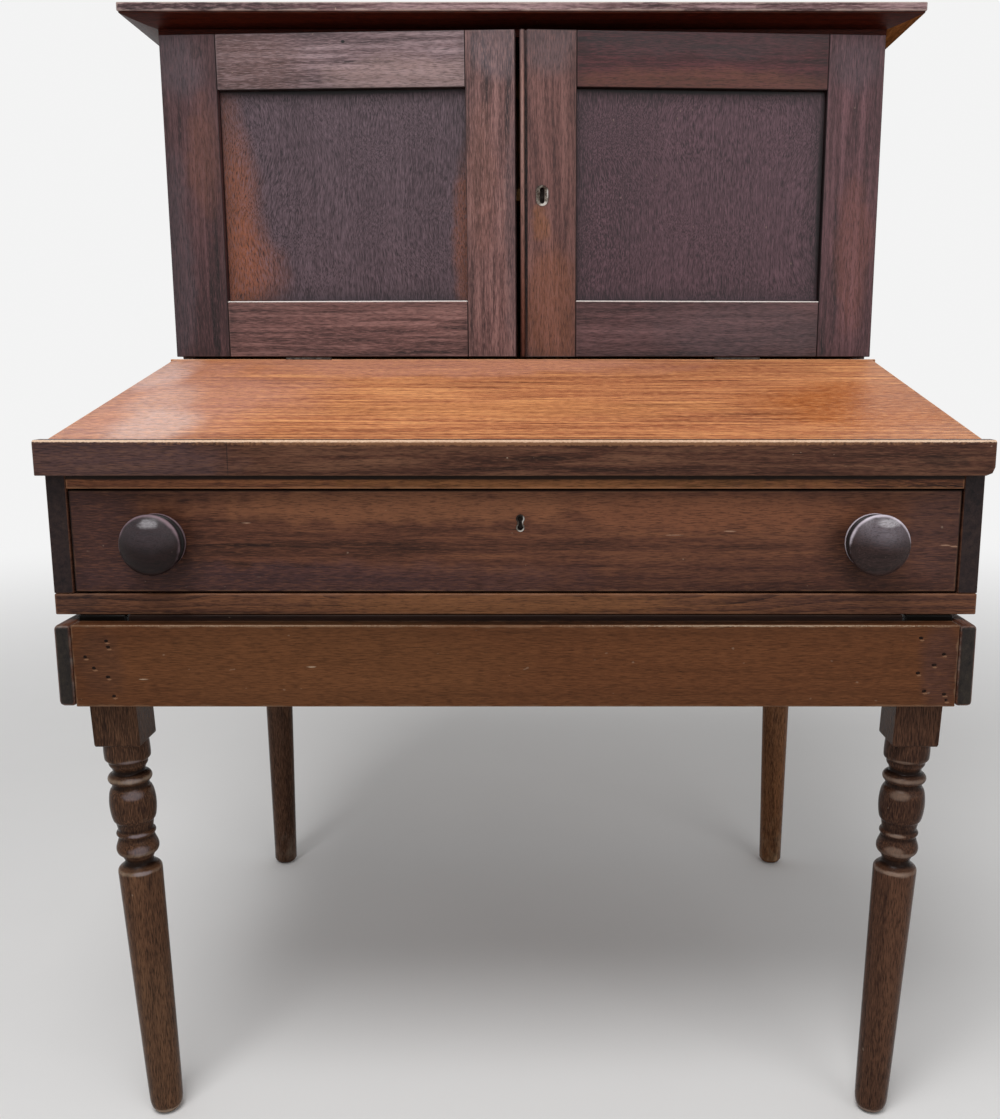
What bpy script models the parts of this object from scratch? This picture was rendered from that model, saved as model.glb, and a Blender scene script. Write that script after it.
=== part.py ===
"""A plantation desk: a drawer case with a slanted lift lid on a four-legged stand, and a two-door cabinet on top.

Lengths are in metres and +Z is up. The working frame has x = 0 in the middle, y = 0 at the front of the
drawer case and z = 0 on the floor; one root empty then centres the whole desk on its own footprint.
"""

import math

import bmesh
import bpy
from mathutils import Matrix, Vector

# Clearances
SEAT = 0.0003  # between two faces that touch
DRAWER_GAP = 0.0015  # around the drawer front
LIP_GAP = 0.0008  # between the lid's lip and the case front
LID_GAP = 0.0010  # between the lid's back edge and the fixed top
DOOR_BACK_GAP = 0.0008  # between a closed door and the cabinet
DOOR_TOP_GAP = 0.0018  # between a door and the cornice moulding
DOOR_MEET_GAP = 0.0030  # between the two closed doors
DOOR_REST_DEG = 3.0  # how far each door stands open at rest

# Stand
LEG_POST = 0.048
LEG_LEAN = 0.042  # inward lean of a front leg, per unit of height
STAND_INSET = 0.0055  # stand's sides inside the case's sides
STAND_FRONT = 0.022  # how far the stand comes ahead of the case
STAND_GAP = 0.006  # air between the aprons and the case
APRON_SIDE = 0.018
APRON_FRONT = 0.020
APRON_BACK = 0.018
APRON_Z = 0.487
APRON_HEIGHT = 0.085
LEG_BLOCK = 0.051  # square part of a front leg below the aprons
BACK_LEG_BLOCK = 0.012  # square part of a back leg below the aprons
BACK_LEG_INSET = 0.0545  # middle of a back leg from the stand's side
BACK_LEG_TOP_R = 0.0236
BACK_LEG_FOOT_R = 0.0176

# Drawer case
CASE_WIDTH = 0.940
CASE_DEPTH = 0.679
SIDE = 0.020
BACK = 0.012
CASE_BOTTOM = 0.022
DRAWER_OPENING = 0.1072
TOP_RAIL = 0.020
WELL_FLOOR = 0.010
WELL_LIFT = 0.0020  # well floor above the drawer opening
BACK_INSET = 0.001  # back boards inside the case's sides
TOP_BOARD = 0.020

# Slanted lid
LID_INSET = 0.0052  # lid's ends inside the case's sides
LID_THICK = 0.020
LID_SLOPE_DEG = 11.6
LID_AXIS_Y = 0.385
LIP_OVERHANG = 0.002  # lip's ends outside the case's sides
LIP_RISE = 0.0148  # lip's lower edge above the drawer opening
LIP_EASE = 0.003  # rounding of the lip's upper edge
LIP_THICK = 0.0175
LIP_HEIGHT = 0.0350

# Drawer
DRAWER_FRONT = 0.020
DRAWER_INSET = 0.001  # drawer front behind the case front
DRAWER_SIDE = 0.012
DRAWER_SIDE_HEIGHT = 0.084
DRAWER_SIDE_GAP = 0.0035
DRAWER_BACK = 0.012
DRAWER_BOTTOM = 0.008
DRAWER_BOTTOM_LIFT = 0.004
DRAWER_LENGTH = 0.460
KNOB_INSET = 0.0875  # middle of a knob from the end of the drawer front
KNOB_R = 0.0292
KNOB_LENGTH = 0.0364
KNOB_TENON_R = 0.008

# Cabinet and cornice
CAB_SIDE = 0.018
DOOR_SETBACK = 0.030  # closed door fronts behind the lid's hinge line
DOOR_THICK = 0.0212
DOOR_LIFT = 0.0033  # doors above the fixed top
DOOR_HEIGHT = 0.410
OUTER_STILE = 0.0735
LEFT_MEETING_STILE = 0.0640
RIGHT_MEETING_STILE = 0.0730
DOOR_TOP_RAIL = 0.0685
DOOR_BOTTOM_RAIL = 0.0735
MEETING_X = -0.006  # middle of the gap between the doors
PANEL_WALL = 0.0022  # door frame behind the panel
PANEL_RECESS = 0.0090
PANEL_TONGUE = 0.008
BEAD_R = 0.0031
QUIRK_WIDTH = 0.0028
QUIRK_DEPTH = 0.0055
SHELF = 0.016
SHELF_RISE = 0.212
SHELF_SETBACK = 0.018
CORNICE_THICK = 0.0107
CORNICE_OVERHANG = 0.045
CROWN_STEP = 0.002  # crown behind the edge of the board on it
CROWN_FILLET = 0.0092
CROWN_FILLET_DEPTH = 0.006
CROWN_RISE = 0.0095
CROWN_EDGE = 0.0015

# Hinges
KNUCKLE_R = 0.0026
PIN_R = 0.0013
PIN_GAP = 0.0002
KNUCKLE_GAP = 0.0004
LEAF_THICK = 0.0014
LEAF_REACH = 0.0150
DOOR_HINGE_LENGTH = 0.055
DOOR_HINGE_INSET = 0.045  # hinge ends from the ends of the door
LID_HINGE_LENGTH = 0.060
LID_HINGE_INSET = 0.1798  # middle of a lid hinge from the lid's end
HINGE_OUTSET = 0.0006  # door pin outside the cabinet's side

# Locks
LOCK_WIDTH = 0.056
LOCK_HEIGHT = 0.050
LOCK_THICK = 0.0112
LOCK_WALL = 0.0022
BOLT_WIDTH = 0.016
BOLT_THICK = 0.0055
BOLT_LENGTH = 0.032
BOLT_GAP = 0.0004
DRAWER_BOLT_TRAVEL = 0.008
DOOR_BOLT_TRAVEL = 0.011
STRIKE_GAP = 0.0022  # play around a shot bolt
DRAWER_LOCK_X = 0.005
DRAWER_KEY_DROP = 0.0335  # keyhole below the top of the drawer front
KEY_HEAD_R = 0.0030
KEY_WAIST = 0.0017
KEY_REACH = 0.0045
KEY_LINER = 0.0012
KEY_LINER_DEPTH = 0.0040
DOOR_KEY_X = 0.0285  # keyhole from the meeting edge
DOOR_KEY_RISE = 0.207  # keyhole above the door's lower edge
DOOR_SLOT_R = 0.0031
DOOR_SLOT_REACH = 0.0072
DOOR_PLATE_R = 0.0078
DOOR_PLATE_DEPTH = 0.0020

# Sizes and places that follow from the ones above
SLOPE = math.radians(LID_SLOPE_DEG)
APRON_TOP = APRON_Z + APRON_HEIGHT
CASE_Z = APRON_TOP + STAND_GAP
CASE_FLOOR = CASE_Z + CASE_BOTTOM
OPENING_TOP = CASE_FLOOR + DRAWER_OPENING
LIP_BOTTOM = OPENING_TOP + LIP_RISE
LIP_TOP = LIP_BOTTOM + LIP_HEIGHT
LID_AXIS_Z = LIP_TOP - SEAT + LID_AXIS_Y * math.tan(SLOPE)
TOP_Z = LID_AXIS_Z
DOOR_Y = LID_AXIS_Y + DOOR_SETBACK
CAB_Y = DOOR_Y + DOOR_THICK + DOOR_BACK_GAP
DOOR_Z = TOP_Z + DOOR_LIFT
DOOR_TOP = DOOR_Z + DOOR_HEIGHT
CROWN_Z = DOOR_TOP + DOOR_TOP_GAP
CROWN_TOP = CROWN_Z + CROWN_FILLET + CROWN_RISE + CROWN_EDGE
CORNICE_Z = CROWN_TOP + SEAT
HALF = CASE_WIDTH / 2
INNER = HALF - SIDE
STAND_WIDTH = CASE_WIDTH - 2 * STAND_INSET
BACK_LEG_X = STAND_WIDTH / 2 - BACK_LEG_INSET
LID_WIDTH = CASE_WIDTH - 2 * LID_INSET
LIP_WIDTH = CASE_WIDTH + 2 * LIP_OVERHANG
LID_HINGE_X = LID_WIDTH / 2 - LID_HINGE_INSET
KNOB_X = INNER - DRAWER_GAP - KNOB_INSET
PANEL_THICK = DOOR_THICK - PANEL_RECESS - PANEL_WALL
CROWN_REACH = CORNICE_OVERHANG - CROWN_STEP
BACK_Y = CASE_DEPTH - BACK
DRAWER_TOP = OPENING_TOP - DRAWER_GAP
DRAWER_Z = CASE_FLOOR + DRAWER_GAP
KNOB_Z = (DRAWER_TOP + DRAWER_Z) / 2
DOOR_AXIS_X = HALF + HINGE_OUTSET
DOOR_AXIS_Y = CAB_Y - DOOR_BACK_GAP / 2
LEFT_EDGE = MEETING_X - DOOR_MEET_GAP / 2
RIGHT_EDGE = MEETING_X + DOOR_MEET_GAP / 2
DOOR_OUT = HALF - SEAT
ROUND = 48


def new_solid():
    """Returns an empty bmesh."""
    return bmesh.new()


def box(lo, hi):
    """Returns a box between two corners."""
    bm = new_solid()
    lo, hi = Vector(lo), Vector(hi)
    mid, size = (lo + hi) / 2, hi - lo
    place = Matrix.Translation(mid) @ Matrix.Diagonal((size.x, size.y, size.z, 1.0))
    bmesh.ops.create_cube(bm, size=1.0, matrix=place)
    return bm


def lift(point, axis, along):
    """Returns a 3D point from a flat one: the flat pair fills the axes other than the given one, in order."""
    u, v = point
    return {"x": (along, u, v), "y": (u, along, v), "z": (u, v, along)}[axis]


def skin(rows, closed_rows=False):
    """Returns a solid from rings of points, with both ends filled unless the rows close on themselves."""
    bm = new_solid()
    rings = [[bm.verts.new(p) for p in row] for row in rows]
    pairs = list(zip(rings, rings[1:]))
    if closed_rows:
        pairs.append((rings[-1], rings[0]))
    for a, b in pairs:
        for i in range(len(a)):
            j = (i + 1) % len(a)
            bm.faces.new((a[i], a[j], b[j], b[i]))
    if not closed_rows:
        bm.faces.new(rings[0])
        bm.faces.new(rings[-1])
    bmesh.ops.recalc_face_normals(bm, faces=bm.faces)
    return bm


def prism(outline, axis, start, end):
    """Returns an outline drawn straight along an axis."""
    return skin([[lift(p, axis, a) for p in outline] for a in (start, end)])


def ring_prism(outer, inner, axis, start, end):
    """Returns a tube between two outlines that have the same number of points."""
    rows = [[lift(p, axis, a) for p in line] for line, a in
            ((outer, start), (outer, end), (inner, end), (inner, start))]
    return skin(rows, closed_rows=True)


def turned(profile, axis, centre):
    """Returns a turned solid from (distance along the axis, radius) pairs."""
    rows = []
    for along, radius in profile:
        ring = [(radius * math.cos(2 * math.pi * k / ROUND), radius * math.sin(2 * math.pi * k / ROUND))
                for k in range(ROUND)]
        rows.append([Vector(lift(p, axis, along)) + Vector(centre) for p in ring])
    return skin(rows)


def held(bm):
    """Returns a scratch object that holds a solid, in millimetres."""
    bmesh.ops.scale(bm, vec=(1000.0, 1000.0, 1000.0), verts=bm.verts)
    mesh = bpy.data.meshes.new("scratch")
    bm.to_mesh(mesh)
    bm.free()
    obj = bpy.data.objects.new("scratch", mesh)
    bpy.context.scene.collection.objects.link(obj)
    return obj


def combined(base, tools, operation):
    """Returns the base with each tool cut from it or joined to it."""
    body = held(base)
    helpers = [held(tool) for tool in tools]
    for helper in helpers:
        change = body.modifiers.new("change", "BOOLEAN")
        change.operation = operation
        change.solver = "EXACT"
        change.object = helper
    view = bpy.context.evaluated_depsgraph_get()
    mesh = bpy.data.meshes.new_from_object(body.evaluated_get(view))
    out = new_solid()
    out.from_mesh(mesh)
    bpy.data.meshes.remove(mesh)
    bmesh.ops.scale(out, vec=(0.001, 0.001, 0.001), verts=out.verts)
    for obj in [body] + helpers:
        data = obj.data
        bpy.data.objects.remove(obj)
        bpy.data.meshes.remove(data)
    return out


def cut(base, tools):
    """Returns the base with the tools cut away."""
    return combined(base, tools, "DIFFERENCE")


def joined(base, tools):
    """Returns the base with the tools fused on."""
    return combined(base, tools, "UNION")


def moved(bm, place):
    """Returns the solid after a placement."""
    bmesh.ops.transform(bm, matrix=place, verts=bm.verts)
    return bm


class Desk:
    """Puts named solids under one empty per moving body."""

    def __init__(self):
        self.origins = {}
        self.empties = {}
        self.root = self.empty("desk", None, (0, -MIDDLE_Y, 0), 0.0)
        self.origins["desk"] = Vector((0, 0, 0))

    def empty(self, name, parent, place, turn_deg):
        """Adds an empty and returns it."""
        obj = bpy.data.objects.new(name + "_body", None)
        bpy.context.scene.collection.objects.link(obj)
        obj.parent = parent
        obj.location = place
        obj.rotation_euler = (0, 0, math.radians(turn_deg))
        self.empties[name] = obj
        return obj

    def body(self, name, origin, turn_deg=0.0, parent="desk"):
        """Adds a moving body whose empty is on its joint's axis."""
        self.origins[name] = Vector(origin)
        self.empty(name, self.empties[parent], Vector(origin) - self.origins[parent], turn_deg)

    def add(self, name, bm, body, colour, smooth=False, metal=0.0, rough=0.45):
        """Adds a finished solid to a body, with its own material."""
        bmesh.ops.translate(bm, vec=-self.origins[body], verts=bm.verts)
        bmesh.ops.recalc_face_normals(bm, faces=bm.faces)
        for face in bm.faces:
            face.smooth = smooth
        mesh = bpy.data.meshes.new(name)
        bm.to_mesh(mesh)
        bm.free()
        obj = bpy.data.objects.new(name, mesh)
        bpy.context.scene.collection.objects.link(obj)
        obj.parent = self.empties[body]
        paint = bpy.data.materials.new(name)
        paint.use_nodes = True
        shader = paint.node_tree.nodes["Principled BSDF"]
        shader.inputs["Base Color"].default_value = (*colour, 1.0)
        shader.inputs["Metallic"].default_value = metal
        shader.inputs["Roughness"].default_value = rough
        mesh.materials.append(paint)


# Colours
WALNUT = (0.16, 0.075, 0.04)
LID_WOOD = (0.40, 0.17, 0.075)
PANEL_WOOD = (0.11, 0.055, 0.04)
DARK = (0.07, 0.04, 0.03)
PINE = (0.32, 0.19, 0.09)
IRON = (0.10, 0.09, 0.085)
STEEL = (0.40, 0.39, 0.37)

# The desk's reach in depth, from the knobs to the back boards
KNOB_FACE = DRAWER_INSET - SEAT - KNOB_LENGTH
MIDDLE_Y = (KNOB_FACE + CASE_DEPTH) / 2


def under_lid(y):
    """Returns the height of the lid's underside."""
    return LID_AXIS_Z - (LID_AXIS_Y - y) * math.tan(SLOPE) - LID_THICK / math.cos(SLOPE)


def build_stand(desk):
    """Four aprons and four legs."""
    half = STAND_WIDTH / 2
    inner = half - APRON_SIDE
    between = inner - SEAT
    front = -STAND_FRONT
    desk.add("apron_front", box((-between, front, APRON_Z), (between, front + APRON_FRONT, APRON_TOP)), "desk", WALNUT)
    for side, name in ((-1, "left"), (1, "right")):
        ends = sorted((side * inner, side * half))
        desk.add(f"apron_{name}", box((ends[0], front, APRON_Z), (ends[1], CASE_DEPTH, APRON_TOP)), "desk", WALNUT)
    back = CASE_DEPTH - APRON_BACK
    desk.add("apron_back", box((-between, back, APRON_Z), (between, CASE_DEPTH, APRON_TOP)), "desk", WALNUT)

    post_top = CASE_Z - SEAT
    front_x = between - LEG_POST / 2
    front_y = front + APRON_FRONT + SEAT + LEG_POST / 2
    block = APRON_Z - LEG_BLOCK
    profile = [(0.0, 0.0085), (0.001, 0.0115), (0.004, 0.0150), (0.010, 0.0172), (0.020, 0.0180)]
    profile += [(0.290, 0.0228), (0.2945, 0.0226), (0.2975, 0.0217), (0.2990, 0.0200), (0.2998, 0.0170)]
    profile += [(0.3010, 0.0147), (0.3035, 0.0147), (0.3060, 0.0163), (0.3085, 0.0170), (0.3095, 0.0190)]
    profile += [(0.3120, 0.0212), (0.3160, 0.0221), (0.3200, 0.0214), (0.3260, 0.0190), (0.3300, 0.0180)]
    profile += [(0.3315, 0.0196), (0.3335, 0.0205), (0.3355, 0.0196), (0.3370, 0.0178), (0.3420, 0.0186)]
    profile += [(0.3474, 0.0198), (0.3482, 0.0216), (0.3560, 0.0233), (0.3670, 0.0241), (0.3780, 0.0230)]
    profile += [(0.3835, 0.0212), (0.3855, 0.0190), (0.3895, 0.0190), (0.3905, 0.0195), (0.3925, 0.0218)]
    profile += [(0.3955, 0.0228), (0.3985, 0.0218), (0.4005, 0.0195), (0.4020, 0.0165), (0.4045, 0.0164)]
    profile += [(0.4080, 0.0178), (0.4110, 0.0200), (0.4150, 0.0200), (0.4165, 0.0225), (0.4185, 0.0236)]
    profile += [(0.4300, 0.0236), (0.4450, 0.0225)]
    stretch = block / 0.436
    radius = LEG_POST / 0.048
    profile = [(z * stretch, r * radius) for z, r in profile]
    for side, name in ((-1, "left"), (1, "right")):
        x = side * front_x
        h = LEG_POST / 2
        leg = turned(profile, "z", (x, front_y, 0))
        leg = joined(leg, [box((x - h, front_y - h, block), (x + h, front_y + h, post_top))])
        for v in leg.verts:
            v.co.x -= side * LEG_LEAN * (post_top - v.co.z)
        desk.add(f"leg_front_{name}", leg, "desk", DARK, smooth=True)

    back_y = back - SEAT - LEG_POST / 2
    shoulder = APRON_Z - BACK_LEG_BLOCK
    plain = [(0.0, BACK_LEG_FOOT_R - 0.007), (0.002, BACK_LEG_FOOT_R - 0.003), (0.007, BACK_LEG_FOOT_R)]
    plain += [(shoulder - 0.002, BACK_LEG_TOP_R), (shoulder + 0.010, BACK_LEG_TOP_R)]
    for side, name in ((-1, "left"), (1, "right")):
        x = side * BACK_LEG_X
        h = LEG_POST / 2
        leg = turned(plain, "z", (x, back_y, 0))
        leg = joined(leg, [box((x - h, back_y - h, shoulder), (x + h, back_y + h, post_top))])
        desk.add(f"leg_back_{name}", leg, "desk", DARK, smooth=True)


def hinge_leaf(length, gap, case_side):
    """Returns one leaf, in the hinge's own frame. The case's leaf holds the pin and the two end knuckles."""
    sign = 1 if case_side else -1
    near, far = sign * gap / 2, sign * (gap / 2 + LEAF_THICK)
    lo, hi = min(near, far), max(near, far)
    clear = KNUCKLE_R + KNUCKLE_GAP
    half = length / 2
    third = length / 6
    plate = box((-LEAF_REACH, lo, -half + 0.0002), (-clear, hi, half - 0.0002))
    if case_side:
        spans = [(-half, -third - KNUCKLE_GAP / 2), (third + KNUCKLE_GAP / 2, half)]
    else:
        spans = [(-third + KNUCKLE_GAP / 2, third - KNUCKLE_GAP / 2)]
    tools = []
    for a, b in spans:
        tools.append(box((-clear - 0.002, lo + 0.0001, a + 0.0001), (-PIN_R - PIN_GAP - 0.0003, hi - 0.0001, b - 0.0001)))
        if case_side:
            tools.append(turned([(a, KNUCKLE_R), (b, KNUCKLE_R)], "z", (0, 0, 0)))
        else:
            rows = [[(r * math.cos(2 * math.pi * k / ROUND), r * math.sin(2 * math.pi * k / ROUND)) for k in range(ROUND)]
                    for r in (KNUCKLE_R, PIN_R + PIN_GAP)]
            tools.append(ring_prism(rows[0], rows[1], "z", a, b))
    if case_side:
        tools.append(turned([(-third - 0.002, PIN_R), (third + 0.002, PIN_R)], "z", (0, 0, 0)))
    return joined(plate, tools)


def door_hinge_place(side, z):
    """Returns the placement of a door hinge."""
    turn = Matrix(((side, 0, 0, side * DOOR_AXIS_X), (0, 1, 0, DOOR_AXIS_Y), (0, 0, side, z), (0, 0, 0, 1)))
    return turn


def lid_hinge_place(x):
    """Returns the placement of a lid hinge: its leaves hang down behind the lid's back edge."""
    s, c = math.sin(SLOPE), math.cos(SLOPE)
    return Matrix(((0, 0, -1, x), (-s, c, 0, LID_AXIS_Y), (c, s, 0, LID_AXIS_Z), (0, 0, 0, 1)))


def door_hinge_heights():
    """Returns the middle heights of a door's two hinges."""
    reach = DOOR_HINGE_INSET + DOOR_HINGE_LENGTH / 2
    return {"lower": DOOR_Z + reach, "upper": DOOR_TOP - reach}


def build_case(desk):
    """The drawer case under the lid."""
    desk.add("case_bottom", box((-HALF, 0, CASE_Z), (HALF, CASE_DEPTH, CASE_FLOOR - SEAT)), "desk", WALNUT)
    level = TOP_Z - TOP_BOARD - SEAT
    bend = LID_AXIS_Y + (LID_GAP / 2 + 0.0001) * math.cos(SLOPE) + LID_THICK * math.sin(SLOPE)
    slope_end = min(under_lid(bend) - SEAT, level)
    outline = [(0, CASE_FLOOR), (BACK_Y, CASE_FLOOR), (BACK_Y, level), (bend, level)]
    if level - slope_end > 0.0001:
        outline.append((bend, slope_end))
    outline.append((0, under_lid(0) - SEAT))
    for side, name in ((-1, "left"), (1, "right")):
        ends = sorted((side * INNER, side * HALF))
        desk.add(f"case_side_{name}", prism(outline, "x", ends[0], ends[1]), "desk", WALNUT)
    between = INNER - SEAT
    rail = [(0, OPENING_TOP), (TOP_RAIL, OPENING_TOP), (TOP_RAIL, under_lid(TOP_RAIL) - SEAT), (0, under_lid(0) - SEAT)]
    reach = DRAWER_BOLT_TRAVEL + STRIKE_GAP
    y = drawer_bolt_y()
    w = BOLT_WIDTH / 2 + STRIKE_GAP
    t = BOLT_THICK / 2 + STRIKE_GAP
    strike = box((DRAWER_LOCK_X - w, y - t, OPENING_TOP - 0.01), (DRAWER_LOCK_X + w, y + t, OPENING_TOP + reach))
    desk.add("case_top_rail", cut(prism(rail, "x", -between, between), [strike]), "desk", WALNUT)
    floor = OPENING_TOP + WELL_LIFT
    desk.add("well_floor", box((-between, TOP_RAIL + SEAT, floor), (between, BACK_Y - SEAT, floor + WELL_FLOOR)), "desk", PINE)
    desk.add("case_back", box((-HALF + BACK_INSET, BACK_Y + SEAT, CASE_FLOOR), (HALF - BACK_INSET, CASE_DEPTH, level)), "desk", PINE)
    s, c = math.sin(SLOPE), math.cos(SLOPE)
    front = (LID_AXIS_Y + LID_GAP / 2 / c, TOP_Z)
    foot = (front[0] + TOP_BOARD * s / c, TOP_Z - TOP_BOARD)
    board = prism([front, (CASE_DEPTH, TOP_Z), (CASE_DEPTH, TOP_Z - TOP_BOARD), foot], "x", -HALF, HALF)
    cuts = []
    for x in (-LID_HINGE_X, LID_HINGE_X):
        cuts += [moved(tool, lid_hinge_place(x)) for tool in seat_cut(LID_HINGE_LENGTH, LID_GAP, True)]
    desk.add("case_top", cut(board, cuts), "desk", WALNUT)
    for x, name in ((-LID_HINGE_X, "left"), (LID_HINGE_X, "right")):
        leaf = moved(hinge_leaf(LID_HINGE_LENGTH, LID_GAP, True), lid_hinge_place(x))
        desk.add(f"lid_hinge_case_{name}", leaf, "desk", IRON, metal=1.0)


def seat_cut(length, gap, case_side):
    """Returns the recess of one leaf and its barrel, in the hinge's own frame."""
    sign = 1 if case_side else -1
    deep = sign * (gap / 2 + LEAF_THICK + SEAT)
    lo, hi = min(0.0, deep), max(0.0, deep)
    end = length / 2 + SEAT
    slot = box((-LEAF_REACH - SEAT, lo, -end), (0.0003, hi, end))
    barrel = turned([(-end - 0.0001, KNUCKLE_R + SEAT), (end + 0.0001, KNUCKLE_R + SEAT)], "z", (0, 0, 0))
    return [slot, barrel]


def build_lid(desk):
    """The slanted lid, which lifts on its back edge."""
    desk.body("lid", (0, LID_AXIS_Y, LID_AXIS_Z))
    s, c = math.sin(SLOPE), math.cos(SLOPE)
    back = (LID_AXIS_Y - LID_GAP / 2 * c, LID_AXIS_Z - LID_GAP / 2 * s)
    low = (back[0] + LID_THICK * s, back[1] - LID_THICK * c)
    front = -LIP_GAP + SEAT
    top = LID_AXIS_Z - (LID_AXIS_Y - front) * s / c
    outline = [back, low, (front, under_lid(front)), (front, top)]
    w = LID_WIDTH / 2
    cuts = []
    for x in (-LID_HINGE_X, LID_HINGE_X):
        cuts += [moved(tool, lid_hinge_place(x)) for tool in seat_cut(LID_HINGE_LENGTH, LID_GAP, False)]
    desk.add("writing_lid", cut(prism(outline, "x", -w, w), cuts), "lid", LID_WOOD)
    y0, y1 = -LIP_GAP - LIP_THICK, -LIP_GAP
    ease = LIP_EASE
    lip = [(y1, LIP_BOTTOM), (y1, LIP_TOP), (y0 + ease, LIP_TOP)]
    lip += [(y0 + ease * (1 - math.sin(a)), LIP_TOP - ease * (1 - math.cos(a))) for a in (0.5, 1.05)]
    lip += [(y0, LIP_TOP - ease), (y0, LIP_BOTTOM)]
    w = LIP_WIDTH / 2
    desk.add("lid_front_lip", prism(lip, "x", -w, w), "lid", WALNUT)
    for x, name in ((-LID_HINGE_X, "left"), (LID_HINGE_X, "right")):
        leaf = moved(hinge_leaf(LID_HINGE_LENGTH, LID_GAP, False), lid_hinge_place(x))
        desk.add(f"lid_hinge_lid_{name}", leaf, "lid", IRON, metal=1.0)


def drawer_bolt_y():
    """Returns the depth of the drawer bolt's middle."""
    return DRAWER_INSET + DRAWER_FRONT - LOCK_THICK / 2


def arc(centre, radius, start_deg, end_deg, steps):
    """Returns points along an arc."""
    out = []
    for k in range(steps + 1):
        a = math.radians(start_deg + (end_deg - start_deg) * k / steps)
        out.append((centre[0] + radius * math.cos(a), centre[1] + radius * math.sin(a)))
    return out


def figure_eight(x, z, grow):
    """Returns the outline of a keyhole with two round ends and a waist."""
    r, waist = KEY_HEAD_R + grow, KEY_WAIST + grow
    a = math.degrees(math.acos(min(waist / r, 0.98)))
    return arc((x, z + KEY_REACH), r, -a, 180 + a, 16) + arc((x, z - KEY_REACH), r, 180 - a, 360 + a, 16)


def slot_outline(x, z, radius, reach):
    """Returns an upright slot with round ends."""
    return arc((x, z + reach), radius, 0, 180, 14) + arc((x, z - reach), radius, 180, 360, 14)


def build_drawer(desk):
    """The long drawer, with its knobs and its lock."""
    desk.body("drawer", (0, DRAWER_INSET, CASE_FLOOR))
    w = INNER - DRAWER_GAP
    y0, y1 = DRAWER_INSET, DRAWER_INSET + DRAWER_FRONT
    key_z = DRAWER_TOP - DRAWER_KEY_DROP
    lock_y = y1 - LOCK_THICK
    lock_lo = (DRAWER_LOCK_X - LOCK_WIDTH / 2, lock_y, DRAWER_TOP - LOCK_HEIGHT)
    lock_hi = (DRAWER_LOCK_X + LOCK_WIDTH / 2, y1, DRAWER_TOP - SEAT)
    pocket = box([v - SEAT for v in lock_lo], (lock_hi[0] + SEAT, y1 + 0.01, DRAWER_TOP + 0.01))
    hole = prism(figure_eight(DRAWER_LOCK_X, key_z, KEY_LINER + SEAT), "y", y0 - 0.01, lock_y + 0.001)
    tools = [pocket, hole]
    for side in (-1, 1):
        tools.append(turned([(y0 - 0.01, KNOB_TENON_R + SEAT), (y1 + 0.01, KNOB_TENON_R + SEAT)], "y", (side * KNOB_X, 0, KNOB_Z)))
    desk.add("drawer_front", cut(box((-w, y0, DRAWER_Z), (w, y1, DRAWER_TOP)), tools), "drawer", WALNUT)
    liner = ring_prism(figure_eight(DRAWER_LOCK_X, key_z, KEY_LINER), figure_eight(DRAWER_LOCK_X, key_z, 0.0),
                       "y", y0 - 0.0004, y0 + KEY_LINER_DEPTH)
    desk.add("drawer_escutcheon", liner, "drawer", STEEL, metal=1.0)
    profile = [(-DRAWER_FRONT, KNOB_TENON_R - 0.001), (-DRAWER_FRONT + 0.001, KNOB_TENON_R), (0.0, KNOB_TENON_R)]
    shape = [(0.0, 0.976), (0.11, 1.0), (0.22, 0.959), (0.29, 0.822), (0.355, 0.736), (0.44, 0.736), (0.52, 0.839),
             (0.605, 0.959), (0.70, 1.003), (0.797, 0.976), (0.879, 0.856), (0.948, 0.651), (0.989, 0.342), (1.0, 0.08)]
    profile += [(SEAT + a * KNOB_LENGTH, min(r, 1.0) * KNOB_R) for a, r in shape]
    for side, name in ((-1, "left"), (1, "right")):
        knob = turned([(y0 - along, r) for along, r in profile], "y", (side * KNOB_X, 0, KNOB_Z))
        desk.add(f"knob_{name}", knob, "drawer", DARK, smooth=True)
    outer = INNER - DRAWER_SIDE_GAP
    z0 = CASE_FLOOR
    z1 = z0 + DRAWER_SIDE_HEIGHT
    near, far = y1 + SEAT, y0 + DRAWER_LENGTH
    for side, name in ((-1, "left"), (1, "right")):
        ends = sorted((side * outer, side * (outer - DRAWER_SIDE)))
        desk.add(f"drawer_side_{name}", box((ends[0], near, z0), (ends[1], far, z1)), "drawer", PINE)
    between = outer - DRAWER_SIDE - SEAT
    desk.add("drawer_back", box((-between, far - DRAWER_BACK, z0 + 0.002), (between, far, z1)), "drawer", PINE)
    base = z0 + DRAWER_BOTTOM_LIFT
    desk.add("drawer_bottom", box((-between, near, base), (between, far - DRAWER_BACK - SEAT, base + DRAWER_BOTTOM)), "drawer", PINE)
    by = drawer_bolt_y()
    bw, bt = BOLT_WIDTH / 2, BOLT_THICK / 2
    low = DRAWER_TOP - SEAT - BOLT_LENGTH
    channel = box((DRAWER_LOCK_X - bw - BOLT_GAP, by - bt - BOLT_GAP, low - BOLT_GAP),
                  (DRAWER_LOCK_X + bw + BOLT_GAP, by + bt + BOLT_GAP, DRAWER_TOP + 0.01))
    desk.add("drawer_lock", cut(box(lock_lo, lock_hi), [channel]), "drawer", IRON, metal=1.0)
    desk.body("drawer_bolt", (DRAWER_LOCK_X, by, low), parent="drawer")
    bolt = box((DRAWER_LOCK_X - bw, by - bt, low), (DRAWER_LOCK_X + bw, by + bt, DRAWER_TOP - SEAT))
    desk.add("drawer_lock_bolt", bolt, "drawer_bolt", STEEL, metal=1.0)


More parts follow.
